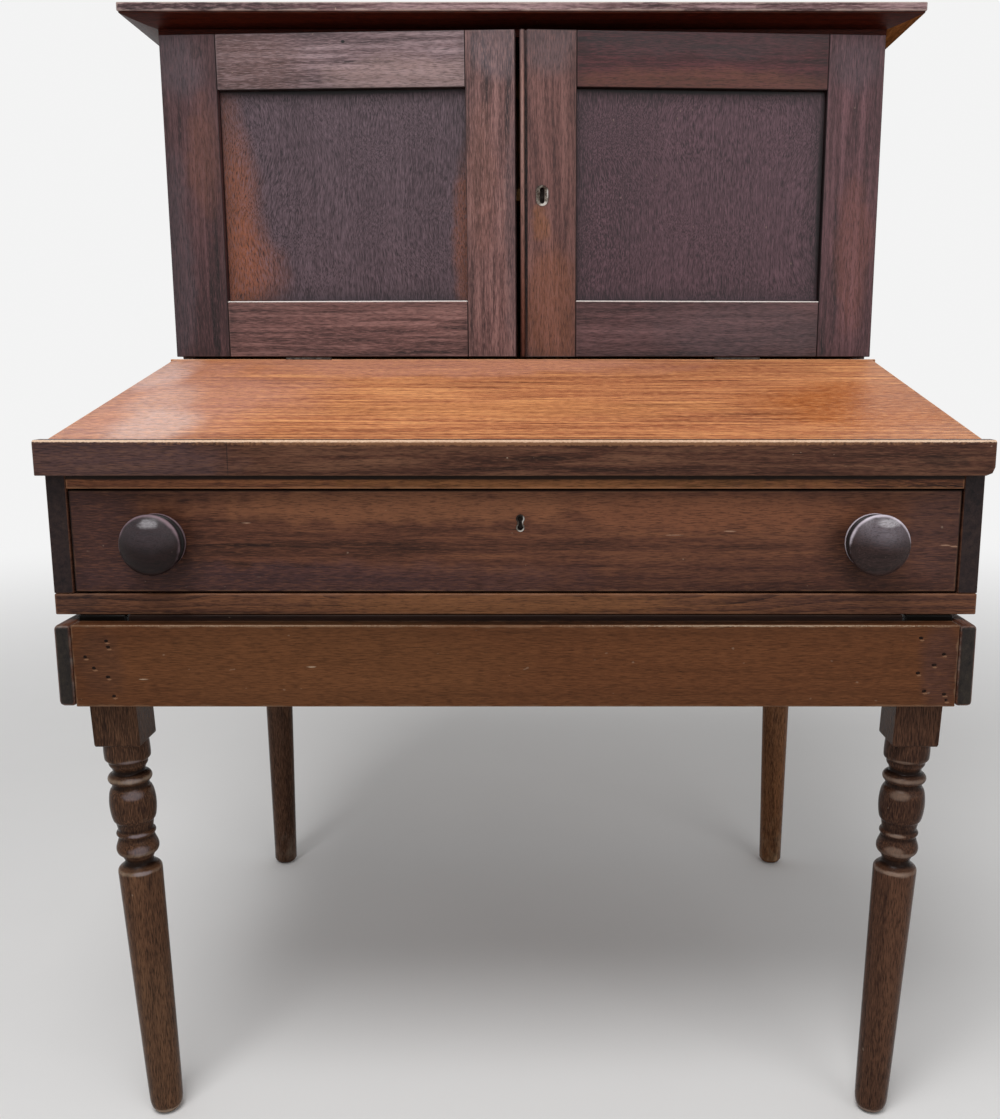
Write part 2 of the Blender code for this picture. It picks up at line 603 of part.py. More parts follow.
def build_cabinet(desk):
    """The cabinet's sides, back and shelf, and the cornice."""
    base = TOP_Z + SEAT
    top = CORNICE_Z - SEAT
    heights = door_hinge_heights()
    for side, name in ((-1, "left"), (1, "right")):
        ends = sorted((side * HALF, side * (HALF - CAB_SIDE)))
        cuts = []
        for z in heights.values():
            cuts += [moved(tool, door_hinge_place(side, z)) for tool in seat_cut(DOOR_HINGE_LENGTH, DOOR_BACK_GAP, True)]
        board = cut(box((ends[0], CAB_Y, base), (ends[1], BACK_Y, top)), cuts)
        desk.add(f"cabinet_side_{name}", board, "desk", WALNUT)
        for level, z in heights.items():
            leaf = moved(hinge_leaf(DOOR_HINGE_LENGTH, DOOR_BACK_GAP, True), door_hinge_place(side, z))
            desk.add(f"{name}_hinge_case_{level}", leaf, "desk", IRON, metal=1.0)
    desk.add("cabinet_back", box((-HALF + BACK_INSET, BACK_Y + SEAT, base), (HALF - BACK_INSET, CASE_DEPTH, top)), "desk", PINE)
    between = HALF - CAB_SIDE - SEAT
    shelf_z = base + SHELF_RISE
    shelf = box((-between, CAB_Y + SHELF_SETBACK, shelf_z), (between, BACK_Y - SEAT, shelf_z + SHELF))
    desk.add("cabinet_shelf", shelf, "desk", PINE)

    reach = HALF + CORNICE_OVERHANG
    board = box((-reach, CAB_Y - CORNICE_OVERHANG, CORNICE_Z), (reach, CASE_DEPTH, CORNICE_Z + CORNICE_THICK))
    desk.add("cornice_board", board, "desk", WALNUT)
    fillet = CROWN_Z + CROWN_FILLET
    rise = CROWN_RISE
    span = CROWN_REACH - CROWN_FILLET_DEPTH
    curve = []
    for k in range(1, 7):
        t = k / 7
        curve.append((CROWN_FILLET_DEPTH + span * t, fillet + rise * (0.72 * t + 0.28 * t * t)))
    outline = [(SEAT, CROWN_Z), (CROWN_FILLET_DEPTH, CROWN_Z), (CROWN_FILLET_DEPTH, fillet)] + curve
    outline += [(CROWN_REACH, fillet + rise), (CROWN_REACH, CROWN_TOP), (SEAT, CROWN_TOP)]
    play = SEAT * 0.75
    rows = [[(side * (HALF + p - play), CAB_Y - p, z) for p, z in outline] for side in (-1, 1)]
    desk.add("crown_front", skin(rows), "desk", DARK)
    for side, name in ((-1, "left"), (1, "right")):
        rows = [[(side * (HALF + p), CAB_Y - p + play, z) for p, z in outline],
                [(side * (HALF + p), CASE_DEPTH, z) for p, z in outline]]
        desk.add(f"crown_{name}", skin(rows), "desk", DARK)


def build_door(desk, side):
    """One framed door: stiles, rails and a flat panel, in its closed place, on a turned empty."""
    name = "left" if side < 0 else "right"
    body = f"{name}_door"
    desk.body(body, (side * DOOR_AXIS_X, DOOR_AXIS_Y, DOOR_Z), turn_deg=side * DOOR_REST_DEG)
    y0, y1 = DOOR_Y, DOOR_Y + DOOR_THICK
    edge = LEFT_EDGE if side < 0 else RIGHT_EDGE
    meeting = LEFT_MEETING_STILE if side < 0 else RIGHT_MEETING_STILE
    outer = side * DOOR_OUT
    inner_hinge = side * (DOOR_OUT - OUTER_STILE)
    inner_meet = edge + side * meeting
    z_low, z_high = DOOR_Z + DOOR_BOTTOM_RAIL, DOOR_TOP - DOOR_TOP_RAIL
    x_low, x_high = sorted((inner_hinge, inner_meet))
    p0, p1 = y0 + PANEL_RECESS, y0 + PANEL_RECESS + PANEL_THICK
    tongue = PANEL_TONGUE
    groove = tongue + SEAT
    panel = box((x_low - tongue, p0, z_low - tongue), (x_high + tongue, p1, z_high + tongue))
    desk.add(f"{name}_panel", panel, body, PANEL_WOOD)

    def slot():
        """Returns the groove that the panel and the rails' tongues share."""
        return box((x_low - groove, p0 - SEAT, DOOR_Z + 0.018), (x_high + groove, p1 + SEAT, DOOR_TOP - 0.018))

    ends = sorted((outer, inner_hinge))
    cuts = [slot()]
    heights = door_hinge_heights()
    for z in heights.values():
        cuts += [moved(tool, door_hinge_place(side, z)) for tool in seat_cut(DOOR_HINGE_LENGTH, DOOR_BACK_GAP, False)]
    desk.add(f"{name}_hinge_stile", cut(box((ends[0], y0, DOOR_Z), (ends[1], y1, DOOR_TOP)), cuts), body, WALNUT)
    for level, z in heights.items():
        leaf = moved(hinge_leaf(DOOR_HINGE_LENGTH, DOOR_BACK_GAP, False), door_hinge_place(side, z))
        desk.add(f"{name}_hinge_door_{level}", leaf, body, IRON, metal=1.0)

    for level, lo, hi, t_lo, t_hi in (
        ("bottom", DOOR_Z, z_low, DOOR_Z + 0.019, z_low - groove - SEAT),
        ("top", z_high, DOOR_TOP, z_high + groove + SEAT, DOOR_TOP - 0.019),
    ):
        rail = box((x_low + SEAT, y0, lo), (x_high - SEAT, y1, hi))
        tongues = [box((x_low - tongue, p0, t_lo), (x_low + 0.004, p1, t_hi)), box((x_high - 0.004, p0, t_lo), (x_high + tongue, p1, t_hi))]
        rail = joined(rail, tongues)
        opening = box((x_low - 0.03, p0 - SEAT, z_low - groove), (x_high + 0.03, p1 + SEAT, z_high + groove))
        desk.add(f"{name}_{level}_rail", cut(rail, [opening]), body, WALNUT)

    key_z = DOOR_Z + DOOR_KEY_RISE
    bolt_z = key_z + 0.011
    bolt_y = y1 - LOCK_THICK / 2
    bw, bt = BOLT_WIDTH / 2, BOLT_THICK / 2
    if side < 0:
        deep = edge - DOOR_BOLT_TRAVEL - STRIKE_GAP
        strike = box((deep, bolt_y - bt - STRIKE_GAP, bolt_z - bw - STRIKE_GAP),
                     (edge + 0.01, bolt_y + bt + STRIKE_GAP, bolt_z + bw + STRIKE_GAP))
        stile = box((inner_meet, y0, DOOR_Z), (edge, y1, DOOR_TOP))
        desk.add("left_meeting_stile", cut(stile, [slot(), strike]), body, WALNUT)
        return
    centre = (edge + BEAD_R, y0 + BEAD_R)
    section = [(edge, y1)] + arc(centre, BEAD_R, 180, 360, 12)
    quirk = edge + 2 * BEAD_R
    section += [(quirk, y0 + QUIRK_DEPTH), (quirk + QUIRK_WIDTH, y0 + QUIRK_DEPTH), (quirk + QUIRK_WIDTH, y0)]
    section += [(inner_meet, y0), (inner_meet, y1)]
    lock_lo = (edge + SEAT, y1 - LOCK_THICK, key_z - LOCK_HEIGHT / 2)
    lock_hi = (edge + LOCK_WIDTH, y1, key_z + LOCK_HEIGHT / 2)
    pocket = box((edge - 0.01, lock_lo[1] - SEAT, lock_lo[2] - SEAT), (lock_hi[0] + SEAT, y1 + 0.01, lock_hi[2] + SEAT))
    key_x = edge + DOOR_KEY_X
    hole = prism(slot_outline(key_x, key_z, DOOR_SLOT_R, DOOR_SLOT_REACH), "y", y0 - 0.01, lock_lo[1] + 0.001)
    plate_hole = prism(slot_outline(key_x, key_z, DOOR_PLATE_R + SEAT, DOOR_SLOT_REACH - 0.002), "y", y0 - 0.01, y0 + DOOR_PLATE_DEPTH + SEAT)
    stile = cut(prism(section, "z", DOOR_Z, DOOR_TOP), [slot(), pocket, hole, plate_hole])
    desk.add("right_meeting_stile", stile, body, WALNUT)
    plate = ring_prism(slot_outline(key_x, key_z, DOOR_PLATE_R, DOOR_SLOT_REACH - 0.002),
                       slot_outline(key_x, key_z, DOOR_SLOT_R, DOOR_SLOT_REACH), "y", y0 - 0.0003, y0 + DOOR_PLATE_DEPTH)
    desk.add("door_escutcheon", plate, body, STEEL, metal=1.0)
    reach = edge + SEAT + BOLT_LENGTH
    channel = box((edge - 0.01, bolt_y - bt - BOLT_GAP, bolt_z - bw - BOLT_GAP),
                  (reach + BOLT_GAP, bolt_y + bt + BOLT_GAP, bolt_z + bw + BOLT_GAP))
    desk.add("door_lock", cut(box(lock_lo, lock_hi), [channel]), body, IRON, metal=1.0)
    desk.body("door_bolt", (edge, bolt_y, bolt_z), parent=body)
    bolt = box((edge + SEAT, bolt_y - bt, bolt_z - bw), (reach, bolt_y + bt, bolt_z + bw))
    desk.add("door_lock_bolt", bolt, "door_bolt", STEEL, metal=1.0)


def main():
    """Clears the file and builds the desk."""
    for obj in list(bpy.data.objects):
        bpy.data.objects.remove(obj)
    desk = Desk()
    build_stand(desk)
    build_case(desk)
    build_lid(desk)
    build_drawer(desk)
    build_cabinet(desk)
    build_door(desk, -1)
    build_door(desk, 1)


main()
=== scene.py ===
"""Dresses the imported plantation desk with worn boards, turned legs and knobs, hardware and finishes.

Lengths are in metres, +Z is up and the desk's front looks along -Y.
"""

import logging
import math
from dataclasses import dataclass, field, replace
from enum import Enum
from functools import partial
from typing import Callable, Dict, Iterable, List, Optional, Sequence, Tuple, TypeVar, Union

import bmesh
import bpy
from mathutils import Euler, Matrix, Vector, noise


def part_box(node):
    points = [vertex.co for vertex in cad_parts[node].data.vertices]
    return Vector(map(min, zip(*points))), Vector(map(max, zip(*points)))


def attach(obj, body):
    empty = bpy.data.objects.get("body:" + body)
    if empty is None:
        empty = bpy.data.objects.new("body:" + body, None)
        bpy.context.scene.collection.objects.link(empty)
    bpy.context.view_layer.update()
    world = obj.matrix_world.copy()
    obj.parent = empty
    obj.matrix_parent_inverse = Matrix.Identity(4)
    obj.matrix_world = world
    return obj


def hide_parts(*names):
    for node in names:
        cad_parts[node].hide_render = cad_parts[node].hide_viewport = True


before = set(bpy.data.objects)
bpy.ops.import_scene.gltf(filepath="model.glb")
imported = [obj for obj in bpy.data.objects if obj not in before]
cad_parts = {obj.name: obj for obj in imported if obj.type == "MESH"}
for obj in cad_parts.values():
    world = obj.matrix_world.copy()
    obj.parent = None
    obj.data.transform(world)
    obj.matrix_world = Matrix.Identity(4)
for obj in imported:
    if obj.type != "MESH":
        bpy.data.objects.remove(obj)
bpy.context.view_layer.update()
LOG = logging.getLogger("plantation_desk")
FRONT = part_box("case_bottom")[0].y

# How far a cutter runs out past a face
CLEAR = 0.01

Value = TypeVar("Value")
Rgb = Tuple[float, float, float]
Point = Tuple[float, float, float]
Pair = Tuple[float, float]
Solid = bmesh.types.BMesh


def tint(red: int, green: int, blue: int) -> Rgb:
    """Returns a colour given in screen values of 0 to 255, as the linear values that shaders use."""
    parts = [v / 255 for v in (red, green, blue)]
    return tuple(v / 12.92 if v <= 0.04045 else ((v + 0.055) / 1.055) ** 2.4 for v in parts)


def times(colour: Rgb, factor: Rgb) -> Rgb:
    """Returns a colour scaled channel by channel."""
    return tuple(a * b for a, b in zip(colour, factor))


class Body(Enum):
    """The parts of the desk that move as one."""

    DESK = "desk"
    LID = "lid"
    DRAWER = "drawer"
    LEFT_DOOR = "left_door"
    RIGHT_DOOR = "right_door"


class Slot(Enum):
    """The record's finishes."""

    WALNUT = "walnut"
    LID_WOOD = "lid_wood"
    PANEL_WOOD = "panel_wood"
    DARK_TURNED = "dark_turned"
    PINE = "pine"
    IRON = "iron"


class Grain(Enum):
    """Which way a board's fibres run, as the turn that lays its own X axis along them."""

    ACROSS = (0.0, 0.0, 0.0)
    DEEP = (0.0, 0.0, math.pi / 2)
    UPRIGHT = (0.0, -math.pi / 2, 0.0)


class Side(Enum):
    """Left or right of the desk, as its front is seen."""

    LEFT = -1
    RIGHT = 1

    @property
    def word(self) -> str:
        """The side's name in lower case."""
        return self.name.lower()

    def pick(self, left: Value, right: Value) -> Value:
        """Returns the first value on the left and the second on the right."""
        return left if self is Side.LEFT else right


class Tone:
    """A shader socket that takes part in Python arithmetic."""

    def __init__(self, recipe: "Recipe", socket: bpy.types.NodeSocket) -> None:
        """Keeps the socket and the recipe that it belongs to."""
        self.recipe = recipe
        self.socket = socket

    def maths(self, operation: str, *others: "Number") -> "Tone":
        """Adds a Math node that starts from this value."""
        return self.recipe.maths(operation, self, *others)

    def __add__(self, other: "Number") -> "Tone":
        """This value plus another."""
        return self.maths("ADD", other)

    def __sub__(self, other: "Number") -> "Tone":
        """This value less another."""
        return self.maths("SUBTRACT", other)

    def __mul__(self, other: "Number") -> "Tone":
        """This value times another."""
        return self.maths("MULTIPLY", other)

    def __truediv__(self, other: "Number") -> "Tone":
        """This value over another."""
        return self.maths("DIVIDE", other)

    def __pow__(self, other: "Number") -> "Tone":
        """This value to a power."""
        return self.maths("POWER", other)

    def __radd__(self, other: float) -> "Tone":
        """A number plus this value."""
        return self.recipe.maths("ADD", other, self)

    def __rsub__(self, other: float) -> "Tone":
        """A number less this value."""
        return self.recipe.maths("SUBTRACT", other, self)

    def __rmul__(self, other: float) -> "Tone":
        """A number times this value."""
        return self.recipe.maths("MULTIPLY", other, self)

    def __rtruediv__(self, other: float) -> "Tone":
        """A number over this value."""
        return self.recipe.maths("DIVIDE", other, self)

    def __rpow__(self, other: float) -> "Tone":
        """A number to the power of this value."""
        return self.recipe.maths("POWER", other, self)

    def step(self, low: float, high: float) -> "Tone":
        """Rises smoothly from 0 at low to 1 at high, or falls where high is the smaller."""
        sockets = {"Value": self, "From Min": low, "From Max": high}
        return self.recipe.node("ShaderNodeMapRange", {"interpolation_type": "SMOOTHSTEP"}, sockets)


Number = Union[Tone, float]


class Recipe:
    """The nodes of a material or of the world, written as expressions."""

    def __init__(self, owner: Union[bpy.types.Material, bpy.types.World]) -> None:
        """Turns the owner's nodes on."""
        owner.use_nodes = True
        self.owner = owner
        self.tree = owner.node_tree

    @staticmethod
    def named(name: str) -> "Recipe":
        """Returns the recipe of a new material that has a plain shader."""
        return Recipe(bpy.data.materials.new(name))

    @property
    def shader(self) -> bpy.types.Node:
        """The material's plain shader."""
        return self.tree.nodes["Principled BSDF"]

    def node(self, kind: str, settings: Optional[dict] = None, sockets: Optional[dict] = None,
             output: Union[int, str] = 0) -> Tone:
        """Adds a node.

        Args:
            kind: Blender's name of the node's type.
            settings: Its properties, set first. A ramp takes "stops", pairs of a place and a colour.
            sockets: Values or links of its inputs, by name or number.
            output: Which output is wanted.

        Returns:
            The wanted output.
        """
        made = self.tree.nodes.new(kind)
        for key, value in (settings or {}).items():
            if key == "stops":
                self.set_stops(made.color_ramp, value)
            else:
                setattr(made, key, value)
        for key, value in (sockets or {}).items():
            self.feed(made.inputs[key], value)
        return Tone(self, made.outputs[output])

    @staticmethod
    def set_stops(ramp: bpy.types.ColorRamp, stops: Sequence[Tuple[float, Rgb]]) -> None:
        """Gives a ramp its stops."""
        while len(ramp.elements) < len(stops):
            ramp.elements.new(0.5)
        for element, (place, colour) in zip(ramp.elements, stops):
            element.position = place
            element.color = (*colour, 1.0)

    def feed(self, socket: bpy.types.NodeSocket, value: object) -> None:
        """Links a tone to a socket, or sets the socket's own value."""
        if isinstance(value, Tone):
            self.tree.links.new(value.socket, socket)
        elif socket.type == "RGBA":
            socket.default_value = (*value[:3], 1.0)
        else:
            socket.default_value = value

    def maths(self, operation: str, *values: Number) -> Tone:
        """Adds a Math node."""
        return self.node("ShaderNodeMath", {"operation": operation}, dict(enumerate(values)))

    def vector(self, operation: str, *values: object, output: Union[int, str] = 0) -> Tone:
        """Adds a Vector Math node."""
        return self.node("ShaderNodeVectorMath", {"operation": operation}, dict(enumerate(values)), output)

    def split(self, place: Tone) -> List[Tone]:
        """Returns a vector's three values."""
        return [self.node("ShaderNodeSeparateXYZ", None, {0: place}, axis) for axis in ("X", "Y", "Z")]

    def placed(self, raw: Tone, middle: Point, turn: Euler) -> Tone:
        """Returns places measured from a point, along turned axes."""
        sockets = {"Vector": raw, "Location": middle, "Rotation": turn}
        return self.node("ShaderNodeMapping", {"vector_type": "TEXTURE"}, sockets)

    def cloud(self, place: Tone, scale: Point, seed: float, detail: float = 2.0, rough: float = 0.5,
              output: str = "Fac") -> Tone:
        """Returns noise that is stretched along the axes whose scale is small."""
        shift = (seed * 3.71, seed * 1.93, seed * 7.17)
        spread = self.vector("MULTIPLY_ADD", place, scale, shift)
        sockets = {"Vector": spread, "Scale": 1.0, "Detail": detail, "Roughness": rough}
        return self.node("ShaderNodeTexNoise", None, sockets, output)

    def mix(self, share: Number, first: object, second: object, blend: str = "MIX") -> Tone:
        """Mixes two colours."""
        settings = {"data_type": "RGBA", "blend_type": blend, "clamp_factor": True}
        return self.node("ShaderNodeMix", settings, {0: share, 6: first, 7: second}, 2)

    def bump(self, height: Tone, strength: float, distance: float, under: Optional[Tone] = None) -> Tone:
        """Turns a height into a surface normal, on top of another one if given."""
        sockets: Dict[str, object] = {"Strength": strength, "Distance": distance, "Height": height}
        if under is not None:
            sockets["Normal"] = under
        return self.node("ShaderNodeBump", None, sockets)

    def dress(self, sockets: Dict[str, object]) -> bpy.types.Material:
        """Feeds the shader and returns the material."""
        for key, value in sockets.items():
            self.feed(self.shader.inputs[key], value)
        return self.owner


@dataclass(frozen=True)
class Mark:
    """A soft patch on a board: a stain, a faded zone, a scuff, a painted highlight, a painted reflection or
    painted shade.
    """

    place: Point
    reach: Point
    colour: Rgb
    strength: float = 0.6
    ragged: float = 0.5
    over: bool = False

    @staticmethod
    def row(y: float, deep: float, *patches: Sequence) -> Tuple["Mark", ...]:
        """Returns the marks of one upright face.

        Args:
            y: Where the face is.
            deep: How far the marks reach along Y.
            patches: For each mark X and Z, the reach along X and Z, and then its other fields.

        Returns:
            The marks in the same order.
        """
        return tuple(Mark((x, y, z), (wide, deep, tall), *rest) for x, z, wide, tall, *rest in patches)

    def laid(self, recipe: Recipe, place: Tone, colour: Tone, seed: float) -> Tone:
        """Returns a colour with the mark laid over it."""
        away = recipe.vector("DIVIDE", recipe.vector("SUBTRACT", place, self.place), self.reach)
        far = recipe.vector("LENGTH", away, output="Value")
        broken = recipe.cloud(place, (0.9 / min(self.reach),) * 3, seed, 3.0)
        share = (far + (broken - 0.5) * (2.0 * self.ragged)).step(1.0, 0.45)
        return recipe.mix(share * self.strength, colour, self.colour)


@dataclass(frozen=True)
class Lay:
    """How a piece was cut from the log, and the marks that it carries."""

    middle: Point
    half: Point
    grain: Grain
    seed: float
    pith: Pair = (0.06, 0.01)
    swing: float = 0.0
    hang: Vector = field(default_factory=Vector)
    slope: float = 0.0
    tone: Rgb = (1.0, 1.0, 1.0)
    marks: Tuple[Mark, ...] = ()
    turned: bool = False

    @property
    def turn(self) -> Euler:
        """The turn of the board's own axes, with X along the fibres."""
        own = Euler(self.grain.value).to_matrix()
        tilt = Matrix.Rotation(self.slope, 3, "X")
        return (Matrix.Rotation(self.swing, 3, "Z") @ tilt @ own).to_euler()

    @property
    def own_half(self) -> Point:
        """Half sizes along the board's own axes."""
        x, y, z = self.half
        return {Grain.ACROSS: (x, y, z), Grain.DEEP: (y, x, z), Grain.UPRIGHT: (z, y, x)}[self.grain]

    @staticmethod
    def between(lo: Vector, hi: Vector, grain: Grain, seed: float, **more: object) -> "Lay":
        """Returns the lay of a board that fills a box."""
        return Lay(tuple((lo + hi) / 2), tuple((hi - lo) / 2), grain, seed, **more)


# Waves of each noise per metre, along the fibres and across them both ways
BROAD = (2.1, 12.0, 12.0)
WANDER = (7.0, 9.0, 9.0)
STRAND = (6.0, 170.0, 170.0)
FLECK = (92.0, 1220.0, 1220.0)
PORE = (90.0, 1700.0, 1700.0)
CHIP = (38.0, 70.0, 70.0)
SPECK = (150.0, 300.0, 300.0)
PLANED = (4.0, 13.0, 13.0)
DRIFT = (1.5, 6.0, 6.0)

# Dust in the pores and dirt in the joints
DUST = tint(196, 172, 150)
JOINT_DIRT = tint(20, 13, 12)


@dataclass(frozen=True)
class WoodFinish:
    """Wood under an old clear finish."""

    deep: Rgb
    body: Rgb
    pale: Rgb
    worn: Rgb
    end: Rgb = (0.42, 0.44, 0.50)
    rings: float = 0.16
    ring_gap: float = 0.011
    sway: float = 0.045
    curl: float = 0.006
    broad: float = 0.30
    strands: float = 0.22
    flecks: float = 0.75
    lights: float = 0.50
    pores: float = 0.45
    specks: float = 0.20
    rough: float = 0.40
    gloss: float = 0.25
    wear: float = 0.40
    seam: float = 0.0
    grime: float = 0.25

    def material(self, name: str, lay: Lay) -> bpy.types.Material:
        """Makes the finish for one piece.

        Args:
            name: The material's name.
            lay: How the piece was cut, and its marks.

        Returns:
            The material.
        """
        recipe = Recipe.named(name)
        raw = recipe.node("ShaderNodeTexCoord", output="Object")
        swing = Matrix.Rotation(lay.swing, 3, "Z")
        shut = recipe.placed(raw, lay.hang - swing @ lay.hang, Euler((0, 0, lay.swing)))
        place = recipe.placed(raw, lay.middle, lay.turn)
        seed = lay.seed
        broad = recipe.cloud(place, BROAD, seed + 1, 2.0)
        wander = recipe.cloud(place, WANDER, seed + 9, 1.0, output="Color")
        fibres = recipe.vector("MULTIPLY_ADD", wander, (0.0, self.curl, self.curl), place)
        strand = recipe.cloud(fibres, STRAND, seed + 2, 3.0, 0.6)
        fleck = recipe.cloud(fibres, FLECK, seed + 3, 2.0, 0.6)
        pore = recipe.cloud(fibres, PORE, seed + 4, 1.0)
        chip = recipe.cloud(place, CHIP, seed + 5, 3.0, 0.6)
        late = self.ring_tone(recipe, place, lay, broad)
        level = 0.5 + (broad - 0.5) * (2.2 * self.broad) + (strand - 0.5) * (2.2 * self.strands)
        level = level - (late - 0.4) * self.rings
        colours = (self.deep, self.body, self.pale, self.worn)
        deep, body, pale, rubbed_and_lit = (times(colour, lay.tone) for colour in colours)
        stops = [(0.12, deep), (0.5, body), (0.88, pale)]
        colour = recipe.node("ShaderNodeValToRGB", {"stops": stops}, {0: level})
        for index, mark in enumerate(m for m in lay.marks if not m.over):
            colour = mark.laid(recipe, shut, colour, seed + 11 + index)
        colour = recipe.mix(fleck.step(0.48, 0.37) * self.lights, colour, pale)
        colour = recipe.mix(fleck.step(0.51, 0.64) * self.flecks, colour, deep)
        holes = pore.step(0.57, 0.68) * self.pores
        colour = recipe.mix(holes, colour, times(self.deep, (0.5, 0.5, 0.5)))
        speck = recipe.cloud(place, SPECK, seed + 7, 0.0).step(0.875, 0.90)
        colour = recipe.mix(speck * self.specks, colour, DUST)
        worn, dirt_and_shade, seam = self.edges(recipe, place, lay, chip)
        colour = recipe.mix(dirt_and_shade * self.grime, colour, times(self.deep, (0.45, 0.45, 0.5)))
        colour = recipe.mix(worn * self.wear, colour, rubbed_and_lit)
        colour = recipe.mix(seam * self.seam, colour, JOINT_DIRT)
        cut_end = self.end_grain(recipe, lay)
        colour = recipe.mix(cut_end, colour, self.end, "MULTIPLY")
        for index, mark in enumerate(m for m in lay.marks if m.over):
            colour = mark.laid(recipe, shut, colour, seed + 31 + index)
        rough = self.rough + (broad - 0.5) * 0.22 + holes * 0.12 + fleck * 0.06 + worn * 0.08 + cut_end * 0.15
        height = strand * 0.3 - fleck * 0.5 - holes
        planed = recipe.cloud(place, PLANED, seed + 6, 1.0)
        normal = recipe.bump(planed, 0.10, 0.004)
        normal = recipe.bump(height, 0.20, 0.0006, normal)
        return recipe.dress({"Base Color": colour, "Roughness": rough, "Normal": normal,
                             "Specular IOR Level": self.gloss})

    def ring_tone(self, recipe: Recipe, place: Tone, lay: Lay, broad: Tone) -> Tone:
        """Returns the growth rings' tone, from 0 in spring wood to 1 in summer wood."""
        drift = recipe.cloud(place, DRIFT, lay.seed, 2.0)
        own = recipe.split(place)
        across = own[1] - lay.pith[0] + (drift - 0.5) * self.sway
        through = own[2] - lay.pith[1]
        reach = (across * across + through * through) ** 0.5
        band = (reach / self.ring_gap + broad * 1.5).maths("FRACT")
        return band ** 2.2

    def edges(self, recipe: Recipe, place: Tone, lay: Lay, chip: Tone) -> Tuple[Tone, Tone, Tone]:
        """Returns where use has taken the finish off, where dirt gathers and where the joints' lines are; on
        turned pieces they follow the relief, which also lays painted highlights on crests and rims and
        painted shade in the knobs' groove.
        """
        if lay.turned:
            relief = recipe.node("ShaderNodeAttribute", {"attribute_name": "relief"}, output="Fac")
            worn = (relief + (chip - 0.5) * 0.9).step(0.35, 1.0)
            dirt_and_shade = (relief + (chip - 0.5) * 0.5).step(0.05, -0.7)
            return worn, dirt_and_shade, relief.step(-0.5, -1.0)
        room = recipe.vector("SUBTRACT", lay.own_half, recipe.vector("ABSOLUTE", place))
        a, b, c = recipe.split(room)
        rim = a.maths("MINIMUM", b).maths("MAXIMUM", a.maths("MAXIMUM", b).maths("MINIMUM", c))
        worn = (rim + (chip - 0.5) * 0.007).step(0.0026, 0.0004)
        dirt_and_shade = (rim + (chip - 0.5) * 0.03).step(0.030, -0.004)
        return worn, dirt_and_shade, rim.step(0.0013, 0.0004)

    @staticmethod
    def end_grain(recipe: Recipe, lay: Lay) -> Tone:
        """Returns where a face is cut across the fibres."""
        facing = recipe.node("ShaderNodeTexCoord", output="Normal")
        along = tuple(lay.turn.to_matrix() @ Vector((1.0, 0.0, 0.0)))
        return recipe.vector("DOT_PRODUCT", facing, along, output="Value").maths("ABSOLUTE").step(0.72, 0.92)


@dataclass(frozen=True)
class MetalFinish:
    """Old metal with a dull skin and some rust."""

    bare: Rgb
    skin: Rgb
    rust: Rgb
    rough: float = 0.45
    dull: float = 0.6
    rusty: float = 0.3

    def material(self, name: str, seed: float, marks: Sequence[Mark] = ()) -> bpy.types.Material:
        """Makes the finish for one piece.

        Args:
            name: The material's name.
            seed: Tells this piece's spots from another's.
            marks: Patches laid over the colour; on the keyhole plates they are painted highlights and painted
                shade.

        Returns:
            The material.
        """
        recipe = Recipe.named(name)
        raw = recipe.node("ShaderNodeTexCoord", output="Object")
        patch = recipe.cloud(raw, (140.0, 140.0, 140.0), seed, 4.0, 0.6)
        fine = recipe.cloud(raw, (700.0, 700.0, 700.0), seed + 1, 3.0, 0.6)
        skin = (patch + (fine - 0.5) * 0.5).step(0.35, 0.70) * self.dull
        spots = (patch * 0.6 + fine * 0.4).step(0.62 - 0.12 * self.rusty, 0.70) * self.rusty
        colour = recipe.mix(spots, recipe.mix(skin, self.bare, self.skin), self.rust)
        for index, mark in enumerate(marks):
            colour = mark.laid(recipe, raw, colour, seed + 11 + index)
        rough = self.rough + skin * 0.15 + spots * 0.3 + (fine - 0.5) * 0.2
        normal = recipe.bump(fine * 0.6 + patch * 0.4 + spots, 0.25, 0.0003)
        metal = 1.0 - spots * 0.9
        return recipe.dress({"Base Color": colour, "Roughness": rough, "Metallic": metal, "Normal": normal})


WALNUT = WoodFinish(tint(40, 24, 20), tint(88, 54, 41), tint(118, 76, 54), tint(140, 100, 76), gloss=0.12,
                    flecks=0.48, lights=0.36, strands=0.66)
END_WALNUT = replace(WALNUT, end=(0.22, 0.32, 0.52), wear=0.08, gloss=0.17)
STUB_WALNUT = replace(END_WALNUT, end=(0.22, 0.43, 0.60), worn=tint(150, 140, 132), wear=0.40)
LIP_WALNUT = replace(WALNUT, deep=tint(30, 18, 14), body=tint(78, 47, 36), pale=tint(119, 82, 62),
                     flecks=0.5, lights=0.4, specks=0.4, wear=0.12)
RAIL_WALNUT = replace(WALNUT, body=tint(100, 64, 47), pale=tint(134, 88, 59), rings=0.45, ring_gap=0.0065,
                      sway=0.20, strands=0.5)
TOP_WALNUT = replace(WALNUT, strands=1.0, broad=0.6, lights=0.7)
APRON_WALNUT = WoodFinish(tint(58, 34, 19), tint(95, 57, 34), tint(117, 74, 46), tint(160, 130, 104),
                          broad=0.16, rings=0.06, strands=0.16, flecks=0.45, lights=0.35, specks=0.15,
                          gloss=0.08, wear=0.25)
DOOR_WALNUT = WoodFinish(tint(36, 22, 20), tint(97, 65, 57), tint(138, 100, 88), tint(150, 116, 104),
                         wear=0.12, seam=0.75, gloss=0.30, rough=0.45, flecks=0.56, lights=0.44,
                         strands=0.72)
CORNICE_WALNUT = replace(DOOR_WALNUT, deep=tint(42, 24, 26), body=tint(105, 73, 75),
                         pale=tint(187, 155, 156), seam=0.0, strands=0.9, broad=0.6,
                         worn=tint(190, 168, 160), wear=0.6, specks=0.6)
